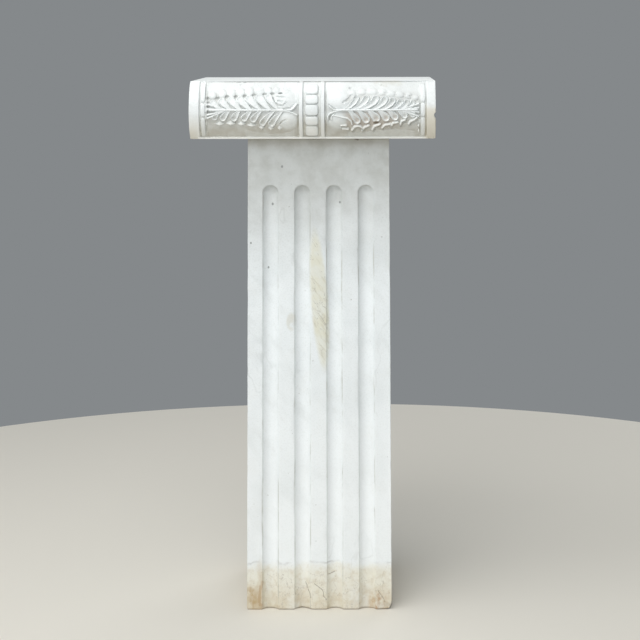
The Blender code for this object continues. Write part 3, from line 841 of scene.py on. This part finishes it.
def carving(out, rise, side, detail):
    """Depth below the plain roll, in metres, over the unrolled map."""
    panel, block_start, block_end, plain, _ = panel_edges(side)
    gap_end = BEAD_HALF_WIDTH + BELT_GAP
    high = leaf(out / MM, rise / MM, side, detail)
    fillet = ease((out - gap_end) / SOFT_EDGE) * ease((BELT_HALF - out) / SOFT_EDGE)
    high = np.where(out < BELT_HALF + 0.0004, FILLET_HIGH * fillet, high)
    slot = ease(1.4 - np.abs(out - BELT_HALF - 0.0012) / 0.0014)
    high = high - BELT_SLOT * slot
    beads = pillows(out / BEAD_HALF_WIDTH, rise, BEAD_JOINTS_DEG)
    high = np.where(out < BEAD_HALF_WIDTH, BEAD_HIGH * beads, high)
    in_slot = ease((out - panel) / 0.0008) * ease((block_start - out) / 0.0008)
    gaps = np.clip(0.35 + rough(rise, 0.2 * side, 0.011, 520 + side), 0.0, 1.0)
    high = np.where(out > panel, BAND_FLOOR - 0.75 * in_slot * gaps, high)
    middle, half = (block_start + block_end) / 2, BLOCK_BAND / 2
    blocks = pillows((out - middle) / half, rise, BLOCK_JOINTS_DEG)
    high = np.where(np.abs(out - middle) < half, BLOCK_FLOOR + BLOCK_RISE * blocks, high)
    high = np.where(out > block_end, GROOVE_FLOOR, high)
    rising = ease((out - plain + 0.0010) / SOFT_EDGE)
    high = high + (1.0 - high) * rising
    lip = np.where(rise > 0, TOP_LIP, BOTTOM_LIP)
    inside = HALF_HEIGHT - np.abs(rise)
    depth = PANEL_SINK * (1 - high) * ease((inside - lip) / 0.0009)
    under_lip = np.where(rise > 0, ease(1.5 - np.abs(inside - TOP_LIP - 0.0006) / 0.0007), 0.0)
    depth = depth + UNDER_LIP * under_lip
    if detail:
        depth = depth + TOOL_GRAIN * (1 + rough(out, rise + 0.3 * side, 0.0045, 530))
    return depth


print("lower lip:", round(1000 * BOTTOM_LIP, 1), "mm")

# %% [markdown]
# ### The scroll faces
# The two ends of the capital can't be seen in the photograph, so they are finished in keeping, and
# plainer: one shallow channel runs out of the eye of a scroll, along the top and into the eye of the
# other. Its middle line is a spiral that shrinks by the same share each turn.

# %% Scroll line
SCROLL_TURNS = 2.0
SCROLL_RADIUS = 0.0390
SCROLL_EYE = 0.0105
CHANNEL_SHARE = 0.205
CHANNEL_DEPTH = 0.0042
CHANNEL_EYE_DEPTH = 0.0015
SCROLL_CENTRE = HALF_DEPTH - BOLSTER_RADIUS


def scroll_depth(across, rise):
    """Depth of the channel on an end face, over places across it and heights."""
    y = np.abs(across) - SCROLL_CENTRE
    shrink = math.log(SCROLL_RADIUS / SCROLL_EYE) / (2 * math.pi * SCROLL_TURNS)
    reach = np.hypot(y, rise)
    turn = np.arctan2(y, rise) % (2 * math.pi)
    share = np.full_like(reach, 9.0)
    deep = np.zeros_like(reach)
    for lap in range(int(SCROLL_TURNS)):
        line = SCROLL_RADIUS * np.exp(-shrink * (turn + 2 * math.pi * lap))
        here = np.abs(reach - line) / (CHANNEL_SHARE * line)
        fullness = line / SCROLL_RADIUS
        better = here < share
        share = np.where(better, here, share)
        deep = np.where(
            better, CHANNEL_EYE_DEPTH + (CHANNEL_DEPTH - CHANNEL_EYE_DEPTH) * fullness, deep
        )
    bridge = np.abs(rise - SCROLL_RADIUS) / (CHANNEL_SHARE * SCROLL_RADIUS)
    on_bridge = (y < 0) & (bridge < share)
    share = np.where(on_bridge, bridge, share)
    deep = np.where(on_bridge, CHANNEL_DEPTH, deep)
    return deep * np.clip(1 - share**2.5, 0.0, 1.0) ** 0.8


print("scroll centres:", round(SCROLL_CENTRE, 4), "m from the middle")

# %% [markdown]
# ### Edges and chips
# Nothing on the block is sharp any more. Every long edge is eased over about a millimetre, a little more
# in places. The right end has lost a chip about 10 mm high near the middle of the roll, and the break
# runs back over the end face and fades out.

# %% Edge wear
EDGE_EASE = 0.0011
CHIP_RISE = -0.0087
CHIP_HALF = 0.0052
CHIP_DEPTH = 0.0030
CHIP_REACH = 0.085


def edge_push(distance, along, seed):
    """How far an edge is worn back, at this distance from it and place along it."""
    size = EDGE_EASE * (1.0 + 1.2 * np.maximum(rough(along, 0.1, 0.016, seed), 0.0))
    return 0.45 * size * np.clip(1 - distance / size, 0.0, 1.0) ** 2


def flake(rise):
    """Depth of the chip on the right end, at each height."""
    return CHIP_DEPTH * np.clip(1 - ((rise - CHIP_RISE) / CHIP_HALF) ** 2, 0, 1) ** 0.7


def end_chip(rise, side, face_sign):
    """How far the end face's edge is broken back at each height."""
    chip = 0.0006 * np.maximum(rough(rise, 0.4 * side, 0.007, 560 + face_sign), 0.0)
    if side > 0 and face_sign < 0:
        chip = chip + flake(rise)
        lower = ease((-0.012 - rise) / 0.003) * ease((rise + 0.030) / 0.003)
        chip = chip + 0.0011 * lower * (0.6 + 0.4 * rough(rise, 0.0, 0.004, 565))
    return chip


print("lost chip:", round(2000 * CHIP_HALF, 1), "mm high")

# %% Bolster points
# The long lower edge is a small upright fillet that stands out under the roll and catches the light.
ROWS = 150
FRONT_COLUMNS = 700
BACK_COLUMNS = 230
FILLET_REACH = 0.0318


def row_angles():
    """Angles round the roll, with extra rows where the lower fillet starts."""
    top_angle = math.asin(HALF_HEIGHT / BOLSTER_RADIUS)
    even = np.linspace(-top_angle, top_angle, ROWS - 4)
    starts = [-HALF_HEIGHT + BOTTOM_LIP + step for step in (-0.00035, -0.0001, 0.00015, 0.0004)]
    extra = [math.asin(start / BOLSTER_RADIUS) for start in starts]
    return np.sort(np.concatenate([even, extra]))


def bolster(face_sign, columns, detail):
    """Points and hollowness of one bolster, columns from left to right, rows from the
    bottom lip to the top lip."""
    angles = row_angles()
    places = np.linspace(-LENGTH / 2, LENGTH / 2, columns)
    x, angle = np.meshgrid(places, angles, indexing="ij")
    rise = BOLSTER_RADIUS * np.sin(angle)
    out = x + BELT_SET_LEFT
    depth = np.zeros_like(x)
    for side in (-1, 1):
        mine = out[:, 0] * side >= 0
        depth[mine] = carving(np.abs(out[mine]), rise[mine], side, detail)
    end_gap = LENGTH / 2 - np.abs(x)
    lip_gap = BOLSTER_RADIUS * (angles[-1] - np.abs(angle))
    worn = edge_push(end_gap, rise, 570 + face_sign) + edge_push(lip_gap, x, 575 + face_sign)
    keep = 1 - (np.abs(rise) / HALF_HEIGHT) ** 4
    roll = (BOLSTER_RADIUS - depth - worn) * np.cos(angle)
    in_fillet = ease((BOTTOM_LIP - (HALF_HEIGHT + rise)) / 0.0006)
    in_fillet = in_fillet * ease((end_gap - 0.0120) / 0.0020)
    roll = roll + in_fillet * np.maximum(FILLET_REACH - worn - roll, 0.0)
    height = rise - depth * np.sin(angle) * keep
    height = height - np.sign(rise) * edge_push(lip_gap, x, 578 + face_sign)
    chips = np.where(x < 0, end_chip(rise, -1, face_sign), end_chip(rise, 1, face_sign))
    pull = np.clip(1 - end_gap / 0.0045, 0, 1)
    x_out = x - np.sign(x) * (chips * pull + edge_push(end_gap, rise, 580 + face_sign))
    away = face_sign * (SCROLL_CENTRE + roll)
    points = np.stack([x_out + MIDDLE[0], away + MIDDLE[1], height + MIDDLE[2]], axis=2)
    return points, np.clip(depth / PANEL_SINK, 0, 1.5)


front_points, front_hollow = bolster(-1, FRONT_COLUMNS, True)
back_points, back_hollow = bolster(1, BACK_COLUMNS, False)
print("bolster grids:", front_points.shape[:2], back_points.shape[:2])

# %% [markdown]
# ### Closing the block
# The end faces are grids too. They run from the edge of the front bolster to the edge of the back one and
# share those edges' points, so the block is one closed skin. The flat top and underside are a worn strip
# round the edge and one large flat face inside it.

# %% End faces
END_COLUMNS = 96


def end_grid(side, front_edge, back_edge):
    """Points of an end face between its two edges, which are left out."""
    shares = np.linspace(0.0, 1.0, END_COLUMNS + 2)[1:-1]
    shares = shares - 0.055 * np.sin(4 * math.pi * shares)
    y = front_edge[:, 1] + shares[:, None] * (back_edge[:, 1] - front_edge[:, 1])
    z = front_edge[:, 2] + shares[:, None] * (back_edge[:, 2] - front_edge[:, 2])
    across, rise = y - MIDDLE[1], z - MIDDLE[2]
    depth = scroll_depth(across, rise)
    rim = np.minimum(np.abs(rise - HALF_HEIGHT), np.abs(rise + HALF_HEIGHT))
    roll = BOLSTER_RADIUS - np.hypot(np.abs(across) - SCROLL_CENTRE, rise)
    rim = np.where(np.abs(across) > SCROLL_CENTRE, np.minimum(rim, roll), rim)
    worn = edge_push(rim, across, 590 + side) + 0.0001 * (1 + rough(across, rise, 0.02, 600 + side))
    if side > 0:
        fading = np.clip(1 - (across + HALF_DEPTH) / CHIP_REACH, 0, 1)
        depth = np.maximum(depth, flake(rise) * fading)
    x = side * (LENGTH / 2 - depth - worn)
    return np.stack([x + MIDDLE[0], y, z], axis=2), np.clip(depth / CHANNEL_DEPTH, 0, 1)


pieces = [front_points.reshape(-1, 3), back_points.reshape(-1, 3)]
hollows = [front_hollow.ravel(), back_hollow.ravel()]
front_index = np.arange(front_points.shape[0] * ROWS).reshape(-1, ROWS)
back_index = front_index.size + np.arange(back_points.shape[0] * ROWS).reshape(-1, ROWS)
count = front_index.size + back_index.size
capital_faces = grid_faces(front_index) + [face[::-1] for face in grid_faces(back_index)]
for side, column in ((-1, 0), (1, -1)):
    points, hollow = end_grid(side, front_points[column], back_points[column])
    inner = count + np.arange(END_COLUMNS * ROWS).reshape(END_COLUMNS, ROWS)
    whole = np.concatenate([front_index[column][None], inner, back_index[column][None]])
    faces = grid_faces(whole)
    capital_faces += faces if side > 0 else [face[::-1] for face in faces]
    pieces.append(points.reshape(-1, 3))
    hollows.append(hollow.ravel())
    count += inner.size
    if side < 0:
        left_rim = whole
    else:
        right_rim = whole
print("points so far:", count)

# %% Top and underside
TOP_STRIP = 0.0035


def flat_side(row, level, count):
    """A strip and an inner face that close the top or the underside."""
    rim = list(front_index[:, row]) + list(right_rim[1:-1, row])
    rim += list(back_index[::-1, row]) + list(left_rim[-2:0:-1, row])
    outer = np.concatenate(pieces)[rim]
    centre = np.array([MIDDLE[0], MIDDLE[1]])
    reach = np.abs(outer[:, :2] - centre)
    limit = np.array([LENGTH / 2, HALF_DEPTH]) - TOP_STRIP
    limit[1] = reach[:, 1].max() - TOP_STRIP
    inner = centre + np.clip(outer[:, :2] - centre, -limit, limit)
    points = np.concatenate([inner, np.full((len(inner), 1), level)], axis=1)
    inner_index = count + np.arange(len(rim))
    faces = []
    for step in range(len(rim)):
        after = (step + 1) % len(rim)
        faces.append([rim[step], rim[after], inner_index[after], inner_index[step]])
    faces.append(inner_index.tolist())
    return points, faces


for row, level in ((-1, float(capital_high[2])), (0, float(capital_low[2]))):
    points, faces = flat_side(row, level, count)
    capital_faces += faces if row == -1 else [face[::-1] for face in faces]
    pieces.append(points)
    hollows.append(np.zeros(len(points)))
    count += len(points)

capital_faces = [[int(corner) for corner in face] for face in capital_faces]
capital_piece = stone_object(
    "carved_capital", np.concatenate(pieces), capital_faces, np.concatenate(hollows)
)
thin_out(capital_piece, 194000)
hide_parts("capital")
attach(capital_piece, "root")
print("capital mesh:", len(capital_piece.data.polygons), "faces")

# %% [markdown]
# ## Shader expressions
# A marble is a stack of masks: veins, stains, dirt. Written as node links, such sums are hard to read. The
# class below wraps one socket, so that a mask can be written as a Python expression, and each operator adds
# a Math node. Any other node comes from its one method, which sets the node up and links its sockets.


# %% Signal class
class Signal:
    """One output of a material's nodes."""

    def __init__(self, tree, socket=None):
        self.tree = tree
        self.socket = socket

    def make(self, kind, settings=None, inputs=None, output=0):
        """Add a node: settings are set first, then the values or links of its sockets."""
        node = self.tree.nodes.new(kind)
        for key, value in (settings or {}).items():
            setattr(node, key, value)
        for key, value in (inputs or {}).items():
            if isinstance(value, Signal):
                self.tree.links.new(value.socket, node.inputs[key])
            else:
                node.inputs[key].default_value = value
        return Signal(self.tree, node.outputs[output])

    def _math(self, operation, first, second):
        return self.make("ShaderNodeMath", {"operation": operation}, {0: first, 1: second})

    def __add__(self, other):
        return self._math("ADD", self, other)

    def __radd__(self, other):
        return self._math("ADD", other, self)

    def __sub__(self, other):
        return self._math("SUBTRACT", self, other)

    def __rsub__(self, other):
        return self._math("SUBTRACT", other, self)

    def __mul__(self, other):
        return self._math("MULTIPLY", self, other)

    def __rmul__(self, other):
        return self._math("MULTIPLY", other, self)

    def __truediv__(self, other):
        return self._math("DIVIDE", self, other)

    def clipped(self):
        """Held between 0 and 1."""
        return self.make("ShaderNodeMath", {"operation": "ADD", "use_clamp": True}, {0: self, 1: 0.0})

    def size(self):
        """Without its sign."""
        return self._math("ABSOLUTE", self, 0.0)

    def step(self, low, high):
        """A smooth step from 0 at low to 1 at high."""
        return self.make(
            "ShaderNodeMapRange",
            {"interpolation_type": "SMOOTHSTEP"},
            {"Value": self, "From Min": low, "From Max": high},
        )


print("signal helper ready")

# %% [markdown]
# ## The marble
# The stone is a cool, slightly grey white, with faint cloudy patches and a few thin veins. Outdoors it has
# taken up dirt: beige soaked into the foot up to a wavering tide line, a yellow patch on the shaft, and
# brown in the hollows and on the underside of the roll, where painted shade is mixed into the dirt. Painted
# shade also darkens the top of the shaft under the capital, the foot along the floor, the flute edges and
# a line along the capital's top edge, and a painted highlight lightens the crests low on the carving. One
# builder makes the common stone, and each block adds its own stains.


# %% Marble helpers
def cloud(places, scale, detail, roughness=0.55, stretch=(1, 1, 1), shift=(0, 0, 0), lean=0.0):
    """Soft noise, about 0 to 1. It can be drawn out along an axis that leans to the right."""
    turn = (0.0, -math.radians(lean), 0.0)
    turned = places.make("ShaderNodeMapping", inputs={0: places, "Rotation": turn})
    moved = places.make("ShaderNodeMapping", inputs={0: turned, "Scale": stretch, "Location": shift})
    values = {"Vector": moved, "Scale": scale, "Detail": detail, "Roughness": roughness}
    return places.make("ShaderNodeTexNoise", inputs=values)


def vein(places, scale, width, stretch, shift, lean=0.0):
    """Thin wandering lines: where soft noise passes through its middle value."""
    field = cloud(places, scale, 4.0, 0.6, stretch, shift, lean)
    return 1.0 - (field - 0.5).size().step(0.0, width)


def spot(x, z, place, size, edge=0.5):
    """A soft oval on the front view, 1 inside."""
    across = (x - place[0]) / size[0]
    up = (z - place[1]) / size[1]
    return 1.0 - (across * across + up * up).step(1.0 - edge, 1.0 + edge)


def crack(x, z, start, end, width):
    """A thin straight line between two points of the front view, 1 on the line."""
    run = (end[0] - start[0], end[1] - start[1])
    length = math.hypot(*run)
    along = (((x - start[0]) * run[0] + (z - start[1]) * run[1]) / length**2).clipped()
    across = x - start[0] - along * run[0]
    up = z - start[1] - along * run[1]
    away = (across * across + up * up) / width**2
    return 1.0 - away.step(0.15, 1.0)


class Marble:
    """The common stone: coordinates, colour and finish, ready for more stains."""

    def __init__(self, name, base):
        self.material = bpy.data.materials.new(name)
        self.material.use_nodes = True
        tree = self.material.node_tree
        self.shader = tree.nodes["Principled BSDF"]
        start = Signal(tree)
        self.places = start.make("ShaderNodeTexCoord", output=3)
        parts = tree.nodes.new("ShaderNodeSeparateXYZ")
        tree.links.new(self.places.socket, parts.inputs[0])
        self.x, self.y, self.z = (Signal(tree, parts.outputs[axis]) for axis in range(3))
        self.hollow = start.make("ShaderNodeAttribute", {"attribute_name": "hollow"}, output=2)
        self.colour = start.make("ShaderNodeRGB")
        self.colour.socket.default_value = (*base, 1.0)
        self.fine = cloud(self.places, 420.0, 3.0)
        soft = cloud(self.places, 9.0, 4.0)
        self.stain(soft.step(0.42, 0.72) * 0.30, (0.64, 0.69, 0.70))
        patch = cloud(self.places, 26.0, 5.0, shift=(3.0, 1.0, 2.0))
        self.stain(patch.step(0.50, 0.78) * 0.20, (0.78, 0.78, 0.74))
        streak = cloud(self.places, 30.0, 5.0, 0.62, (0.35, 1.0, 1.0), (0.4, 0.0, 0.9), 52.0)
        self.stain(streak.step(0.50, 0.72) * 0.24, (0.58, 0.61, 0.60))
        thin = vein(self.places, 6.0, 0.010, (1.0, 1.0, 0.55), (1.3, 0.2, 0.7))
        thin = thin * cloud(self.places, 5.0, 2.0).step(0.45, 0.65)
        self.stain(thin * 0.34, (0.50, 0.53, 0.52))
        self.stain(self.fine.step(0.46, 0.74) * 0.26, (0.60, 0.62, 0.60))
        self.stain((1.0 - self.fine.step(0.28, 0.44)) * 0.35, (0.93, 0.95, 0.95))

    def stain(self, mask, tint):
        """Blend the colour toward a tint, as far as the mask says."""
        values = {"Factor": mask.clipped(), 6: self.colour, 7: (*tint, 1.0)}
        self.colour = mask.make("ShaderNodeMix", {"data_type": "RGBA"}, values, output=2)

    def finish(self, roughness, grain):
        """Link the colour, the roughness and the fine grain."""
        tree = self.material.node_tree
        tree.links.new(self.colour.socket, self.shader.inputs["Base Color"])
        polish = roughness + (self.fine - 0.5) * 0.12
        tree.links.new(polish.socket, self.shader.inputs["Roughness"])
        coarse = cloud(self.places, 90.0, 4.0)
        relief = self.fine * 0.4 + coarse * 0.6
        values = {"Height": relief, "Strength": grain, "Distance": 0.0006}
        bump = relief.make("ShaderNodeBump", inputs=values)
        tree.links.new(bump.socket, self.shader.inputs["Normal"])
        return self.material


print("marble helpers ready")

# %% [markdown]
# ### The shaft's finish
# The stains sit where the photograph shows them. The tide line is the edge of a wet zone 80 mm high, and
# wanders a little. Below it the stone is beige, more so toward the floor, with rust at the corners.

# %% Shaft marble
TIDE_HEIGHT = 0.0805
shaft_stone = Marble("weathered shaft marble with painted shade", (0.883, 0.922, 0.936))
stain, places = shaft_stone.stain, shaft_stone.places
across, up = shaft_stone.x, shaft_stone.z
front = 1.0 - shaft_stone.y.step(-0.108, -0.100)
ragged = cloud(places, 35.0, 5.0)
blotch = cloud(places, 14.0, 5.0, shift=(1.0, 4.0, 2.0))
mottle = cloud(places, 95.0, 5.0, 0.65, shift=(2.0, 0.0, 5.0))
shaft_nodes = shaft_stone.material.node_tree.nodes
print("tide line:", TIDE_HEIGHT, "m up")

# %% Grey weathering and painted shade under the capital
# Grey towards the top of the shaft is partly weathering and partly painted shade, where the capital keeps
# light from above off the stone.
weathering_and_painted_shade = (up + (blotch - 0.5) * 0.07).step(0.530, 0.838)
stain(weathering_and_painted_shade * (0.72 + ragged.step(0.35, 0.70) * 0.22), (0.40, 0.405, 0.375))
# A brown band at the top of the shaft, just under the capital, is painted shade.
painted_shade_under_capital = (up + (ragged - 0.5) * 0.012).step(0.790, 0.812)
stain(painted_shade_under_capital * 0.45, (0.33, 0.29, 0.22))
flaw = crack(across, up, (0.0700, 0.8150), (0.0775, 0.8118), 0.0018) * front
stain(flaw * 0.8, (0.13, 0.10, 0.07))
print("shader nodes of the shaft so far:", len(shaft_nodes))

# %% Lighter colour lower down
# The colour is made paler from about half way up down to the floor.
lighter_lower_down = 1.0 - (up + (blotch - 0.5) * 0.05).step(0.12, 0.50)
stain(lighter_lower_down * 0.42, (0.96, 0.98, 0.985))
print("shader nodes of the shaft so far:", len(shaft_nodes))

# %% Foot
tide = up + (ragged - 0.5) * 0.020
below = 1.0 - tide.step(TIDE_HEIGHT - 0.018, TIDE_HEIGHT + 0.004)
stain(below * (blotch.step(0.30, 0.65) * 0.30 + 0.22), (0.74, 0.67, 0.47))
stain(below * mottle.step(0.44, 0.66) * 0.32, (0.55, 0.46, 0.31))
pale = cloud(places, 52.0, 5.0, 0.6, (1.0, 1.0, 0.6), (7.0, 0.0, 2.0)).step(0.52, 0.68)
stain(below * pale * 0.40, (0.86, 0.84, 0.74))
low = 1.0 - (up + (blotch - 0.5) * 0.05).step(0.0, 0.060)
stain(low * (0.19 + ragged.step(0.40, 0.60) * 0.32), (0.58, 0.47, 0.29))
in_flute = shaft_stone.hollow.step(0.15, 0.8)
stain(low * in_flute * 0.12, (0.42, 0.36, 0.27))
line = 1.0 - (tide - TIDE_HEIGHT).size().step(0.0, 0.0035)
stain(line * cloud(places, 24.0, 3.0).step(0.42, 0.62) * 0.50, (0.43, 0.43, 0.41))
# A dark line along the lowest few millimetres of the foot is painted shade where the shaft meets the floor.
painted_floor_contact_shade = 1.0 - (up + (mottle - 0.5) * 0.004).step(0.0005, 0.0035)
stain(painted_floor_contact_shade * 0.60, (0.24, 0.19, 0.14))
FOOT_CRACKS = (
    ((-0.0149, 0.0454), (-0.0098, 0.0330)),
    ((-0.0098, 0.0330), (-0.0045, 0.0203)),
    ((0.0016, 0.0445), (0.0136, 0.0341)),
    ((0.0136, 0.0341), (0.0206, 0.0169)),
    ((0.0266, 0.0600), (0.0361, 0.0635)),
    ((0.1110, 0.0330), (0.1240, 0.0130)),
)
for start, end in FOOT_CRACKS:
    hair = crack(across + (mottle - 0.5) * 0.011, up, start, end, 0.0011) * front
    stain(hair * 0.60, (0.26, 0.21, 0.16))
hair = vein(places, 26.0, 0.007, (1.0, 1.0, 0.6), (0.4, 0.9, 3.0)) * below
stain(hair * 0.40, (0.36, 0.31, 0.25))
print("cracks in the foot:", len(FOOT_CRACKS))

# %% Rust at the corners
swirl = cloud(places, 70.0, 5.0, 0.65, (1.0, 1.0, 0.45), (0.3, 0.0, 6.0))
wander = across + (swirl - 0.5) * 0.018
rust = spot(wander, up, (-0.110, 0.010), (0.019, 0.031), 0.8) * (0.30 + swirl.step(0.38, 0.62) * 0.70)
stain(rust * (0.62 + mottle.step(0.40, 0.62) * 0.38), (0.50, 0.36, 0.19))
rust = spot(wander, up, (-0.0925, 0.030), (0.0075, 0.052), 0.8) * front
stain(rust * 0.40, (0.58, 0.48, 0.33))
rust = crack(wander, up, (-0.0905, 0.048), (-0.0915, 0.002), 0.0030) * swirl.step(0.30, 0.55)
stain(rust * front * 0.62, (0.46, 0.30, 0.15))
rust = spot(wander, up, (0.1175, 0.008), (0.020, 0.027), 0.75) * (0.35 + swirl.step(0.42, 0.60) * 0.65)
stain(rust * (0.42 + mottle.step(0.40, 0.62) * 0.46), (0.54, 0.39, 0.22))
rust = crack(wander, up, (0.1085, 0.003), (0.1145, 0.027), 0.0036) * swirl.step(0.36, 0.54)
stain(rust * front * 0.72, (0.42, 0.24, 0.12))
print("shader nodes of the shaft so far:", len(shaft_nodes))

# %% Patches between the flutes
slant = across + 0.07 * (up - 0.535)
yellow = spot(slant, up, (0.0105, 0.535), (0.0145, 0.112), 0.40) * front
stain(yellow * (ragged.step(0.35, 0.60) * 0.28 + 0.52), (0.75, 0.73, 0.58))
grain = cloud(places, 150.0, 4.0, 0.6, (0.22, 1.0, 1.0), (0.0, 2.0, 0.0), 57.0)
stain(yellow * grain.step(0.50, 0.66) * 0.40, (0.58, 0.55, 0.43))
dark = vein(places, 60.0, 0.012, (0.30, 1.0, 1.0), (0.7, 0.0, 0.2), 57.0)
stain(yellow * dark * 0.55, (0.36, 0.34, 0.28))
beige = spot(across, up, (-0.038, 0.497), (0.0085, 0.015)) * ragged.step(0.30, 0.55) * front
stain(beige * 0.42, (0.60, 0.57, 0.46))
print("shader nodes of the shaft so far:", len(shaft_nodes))

# %% Dirt and painted shade along the arrises, and specks
# Grey along the edges of the flutes is partly dirt and partly painted shade of the steep flute walls.
arris_dirt_and_shade = shaft_stone.hollow.step(0.004, 0.05) * (1.0 - shaft_stone.hollow.step(0.12, 0.36))
worn = cloud(places, 45.0, 4.0, 0.6, (1.0, 1.0, 0.30), (0.0, 0.0, 4.0)).step(0.48, 0.66)
stain(arris_dirt_and_shade * (worn * 0.62 + 0.06), (0.46, 0.44, 0.40))
SPECKS = (
    (-0.0537, 0.7655, 0.0019),
    (-0.0705, 0.7001, 0.0019),
    (0.0461, 0.7032, 0.0017),
    (-0.0779, 0.5903, 0.0016),
    (-0.1078, 0.6335, 0.0015),
)
for place_x, place_z, radius in SPECKS:
    mark = spot(across, up, (place_x, place_z), (radius, radius * 1.25))
    stain(mark * front * 0.75, (0.20, 0.21, 0.20))
specks = cloud(places, 150.0, 2.0, shift=(5.0, 0.0, 1.0)).step(0.745, 0.79)
stain(specks * 0.5, (0.34, 0.34, 0.31))
shaft_material = shaft_stone.finish(0.60, 0.30)
shaft_piece.data.materials.append(shaft_material)
print("shaft stains end at", TIDE_HEIGHT, "m")

# %% [markdown]
# ### The capital's finish
# The carving holds grey-brown dirt and painted shade in its hollows, and a painted highlight on its crests
# in the lower half. Rain keeps the upper half clean, and the sheltered lower half, which faces down, is
# browner, partly with dirt and partly with painted shade. The right end band has a yellow-brown stain.

# %% Capital marble
capital_stone = Marble("weathered capital marble with painted light and shade", (0.862, 0.892, 0.890))
stain, places = capital_stone.stain, capital_stone.places
out_here = capital_stone.x - float(MIDDLE[0])
rise_here = capital_stone.z - float(MIDDLE[2])
hollow_here = capital_stone.hollow
mottle = cloud(places, 60.0, 4.0)
# Grey-brown in the hollows of the carving is dirt and painted shade, lighter on the heads above the leaf and
# near the belt.
hollow_dirt_and_shade = hollow_here.step(0.35, 0.95) * (0.55 + mottle.step(0.30, 0.65) * 0.45)
hollow_dirt_and_shade = hollow_dirt_and_shade * (1.0 - rise_here.step(0.020, 0.036) * 0.60)
near_belt = (1.0 - out_here.size().step(0.046, 0.064)) * rise_here.step(0.0, 0.008)
hollow_dirt_and_shade = hollow_dirt_and_shade * (1.0 - near_belt * out_here.size().step(0.023, 0.026) * 0.70)
stain(hollow_dirt_and_shade * 0.55, (0.42, 0.42, 0.39))
capital_nodes = capital_stone.material.node_tree.nodes
print("shader nodes of the capital so far:", len(capital_nodes))

# %% Dirt and painted shade in the drilled holes
HOLE_DROP = 1.0
HOLE_DIRT_AND_SHADE = {-1: 0.42, 1: 0.14}
at_front = 1.0 - capital_stone.y.step(-0.125, -0.110)
# Grey in the drilled holes is dirt together with painted shade of their depth, stronger on the left, where
# the holes are deep.
for side in (-1, 1):
    for place_out, place_rise, wide, tall in HOLES[side, 1]:
        place = (side * place_out * MM - BELT_SET_LEFT, (place_rise - HOLE_DROP) * MM)
        drilled = spot(out_here, rise_here, place, (wide * MM, tall * MM)) * at_front
        stain(drilled * HOLE_DIRT_AND_SHADE[side], (0.32, 0.33, 0.32))
print("hole dirt, left and right:", HOLE_DIRT_AND_SHADE[-1], HOLE_DIRT_AND_SHADE[1])

# %% Brown dirt and painted shade on the under side
# The lower half of the roll faces down. Its brown is partly dirt and partly painted shade, deepest in the
# hollows.
lower_half_dirt_and_shade = 1.0 - (rise_here + (cloud(places, 20.0, 3.0) - 0.5) * 0.02).step(-0.040, 0.002)
stain(lower_half_dirt_and_shade * 0.32, (0.68, 0.63, 0.50))
brown_dirt_and_hollow_shade = lower_half_dirt_and_shade * hollow_here.step(0.45, 1.1) * (0.5 + mottle.step(0.35, 0.6) * 0.5)
stain(brown_dirt_and_hollow_shade * 0.36, (0.46, 0.40, 0.30))
right_leaf = out_here.step(0.045, 0.065) * (1.0 - out_here.step(0.135, 0.160))
right_leaf = right_leaf * (1.0 - rise_here.step(-0.008, 0.002)) * rise_here.step(-0.034, -0.022)
stain(right_leaf * hollow_here.step(0.30, 0.75) * 0.45, (0.56, 0.46, 0.38))
# A dark brown oval in the drilled hole of the lower right leaf is dirt with painted shade of the hole's
# depth.
mark = spot(out_here, rise_here, (0.1088, -0.0215), (0.0048, 0.0020)) * at_front
stain(mark * 0.80, (0.17, 0.13, 0.08))
# A painted highlight whitens the crests of the carving in the lower half.
painted_crest_highlight = (1.0 - hollow_here.step(0.02, 0.24)) * lower_half_dirt_and_shade
stain(painted_crest_highlight * 0.80, (0.97, 0.96, 0.91))
print("shader nodes of the capital so far:", len(capital_nodes))

# %% End bands and top
right_end = out_here.step(0.188, 0.199) * (1.0 - (rise_here + (mottle - 0.5) * 0.02).step(-0.004, 0.016))
stain(right_end * 0.46, (0.66, 0.57, 0.38))
left_end = (1.0 - out_here.step(-0.205, -0.190)) * (1.0 - rise_here.step(-0.044, -0.020))
stain(left_end * 0.40, (0.70, 0.63, 0.47))
# A grey line just below the top edges, over the middle of the length, is painted shade under the edge.
painted_top_edge_shade = rise_here.step(HALF_HEIGHT - 0.0032, HALF_HEIGHT - 0.0022) * (
    1.0 - rise_here.step(HALF_HEIGHT - 0.0010, HALF_HEIGHT - 0.0002)
)
painted_top_edge_shade = painted_top_edge_shade * cloud(places, 26.0, 3.0, 0.55, (0.35, 1.0, 1.0)).step(0.34, 0.58)
stain(painted_top_edge_shade * (1.0 - out_here.size().step(0.10, 0.19)) * 0.50, (0.40, 0.40, 0.38))
cloudy = spot(out_here, rise_here, (0.131, 0.0455), (0.026, 0.0062)) * mottle.step(0.35, 0.65) * at_front
stain(cloudy * 0.45, (0.62, 0.61, 0.54))
capital_material = capital_stone.finish(0.58, 0.26)
capital_piece.data.materials.append(capital_material)
print("materials:", shaft_material.name, "and", capital_material.name)

# %% Finish
bpy.context.view_layer.update()
print("pieces:", shaft_piece.name, "and", capital_piece.name)
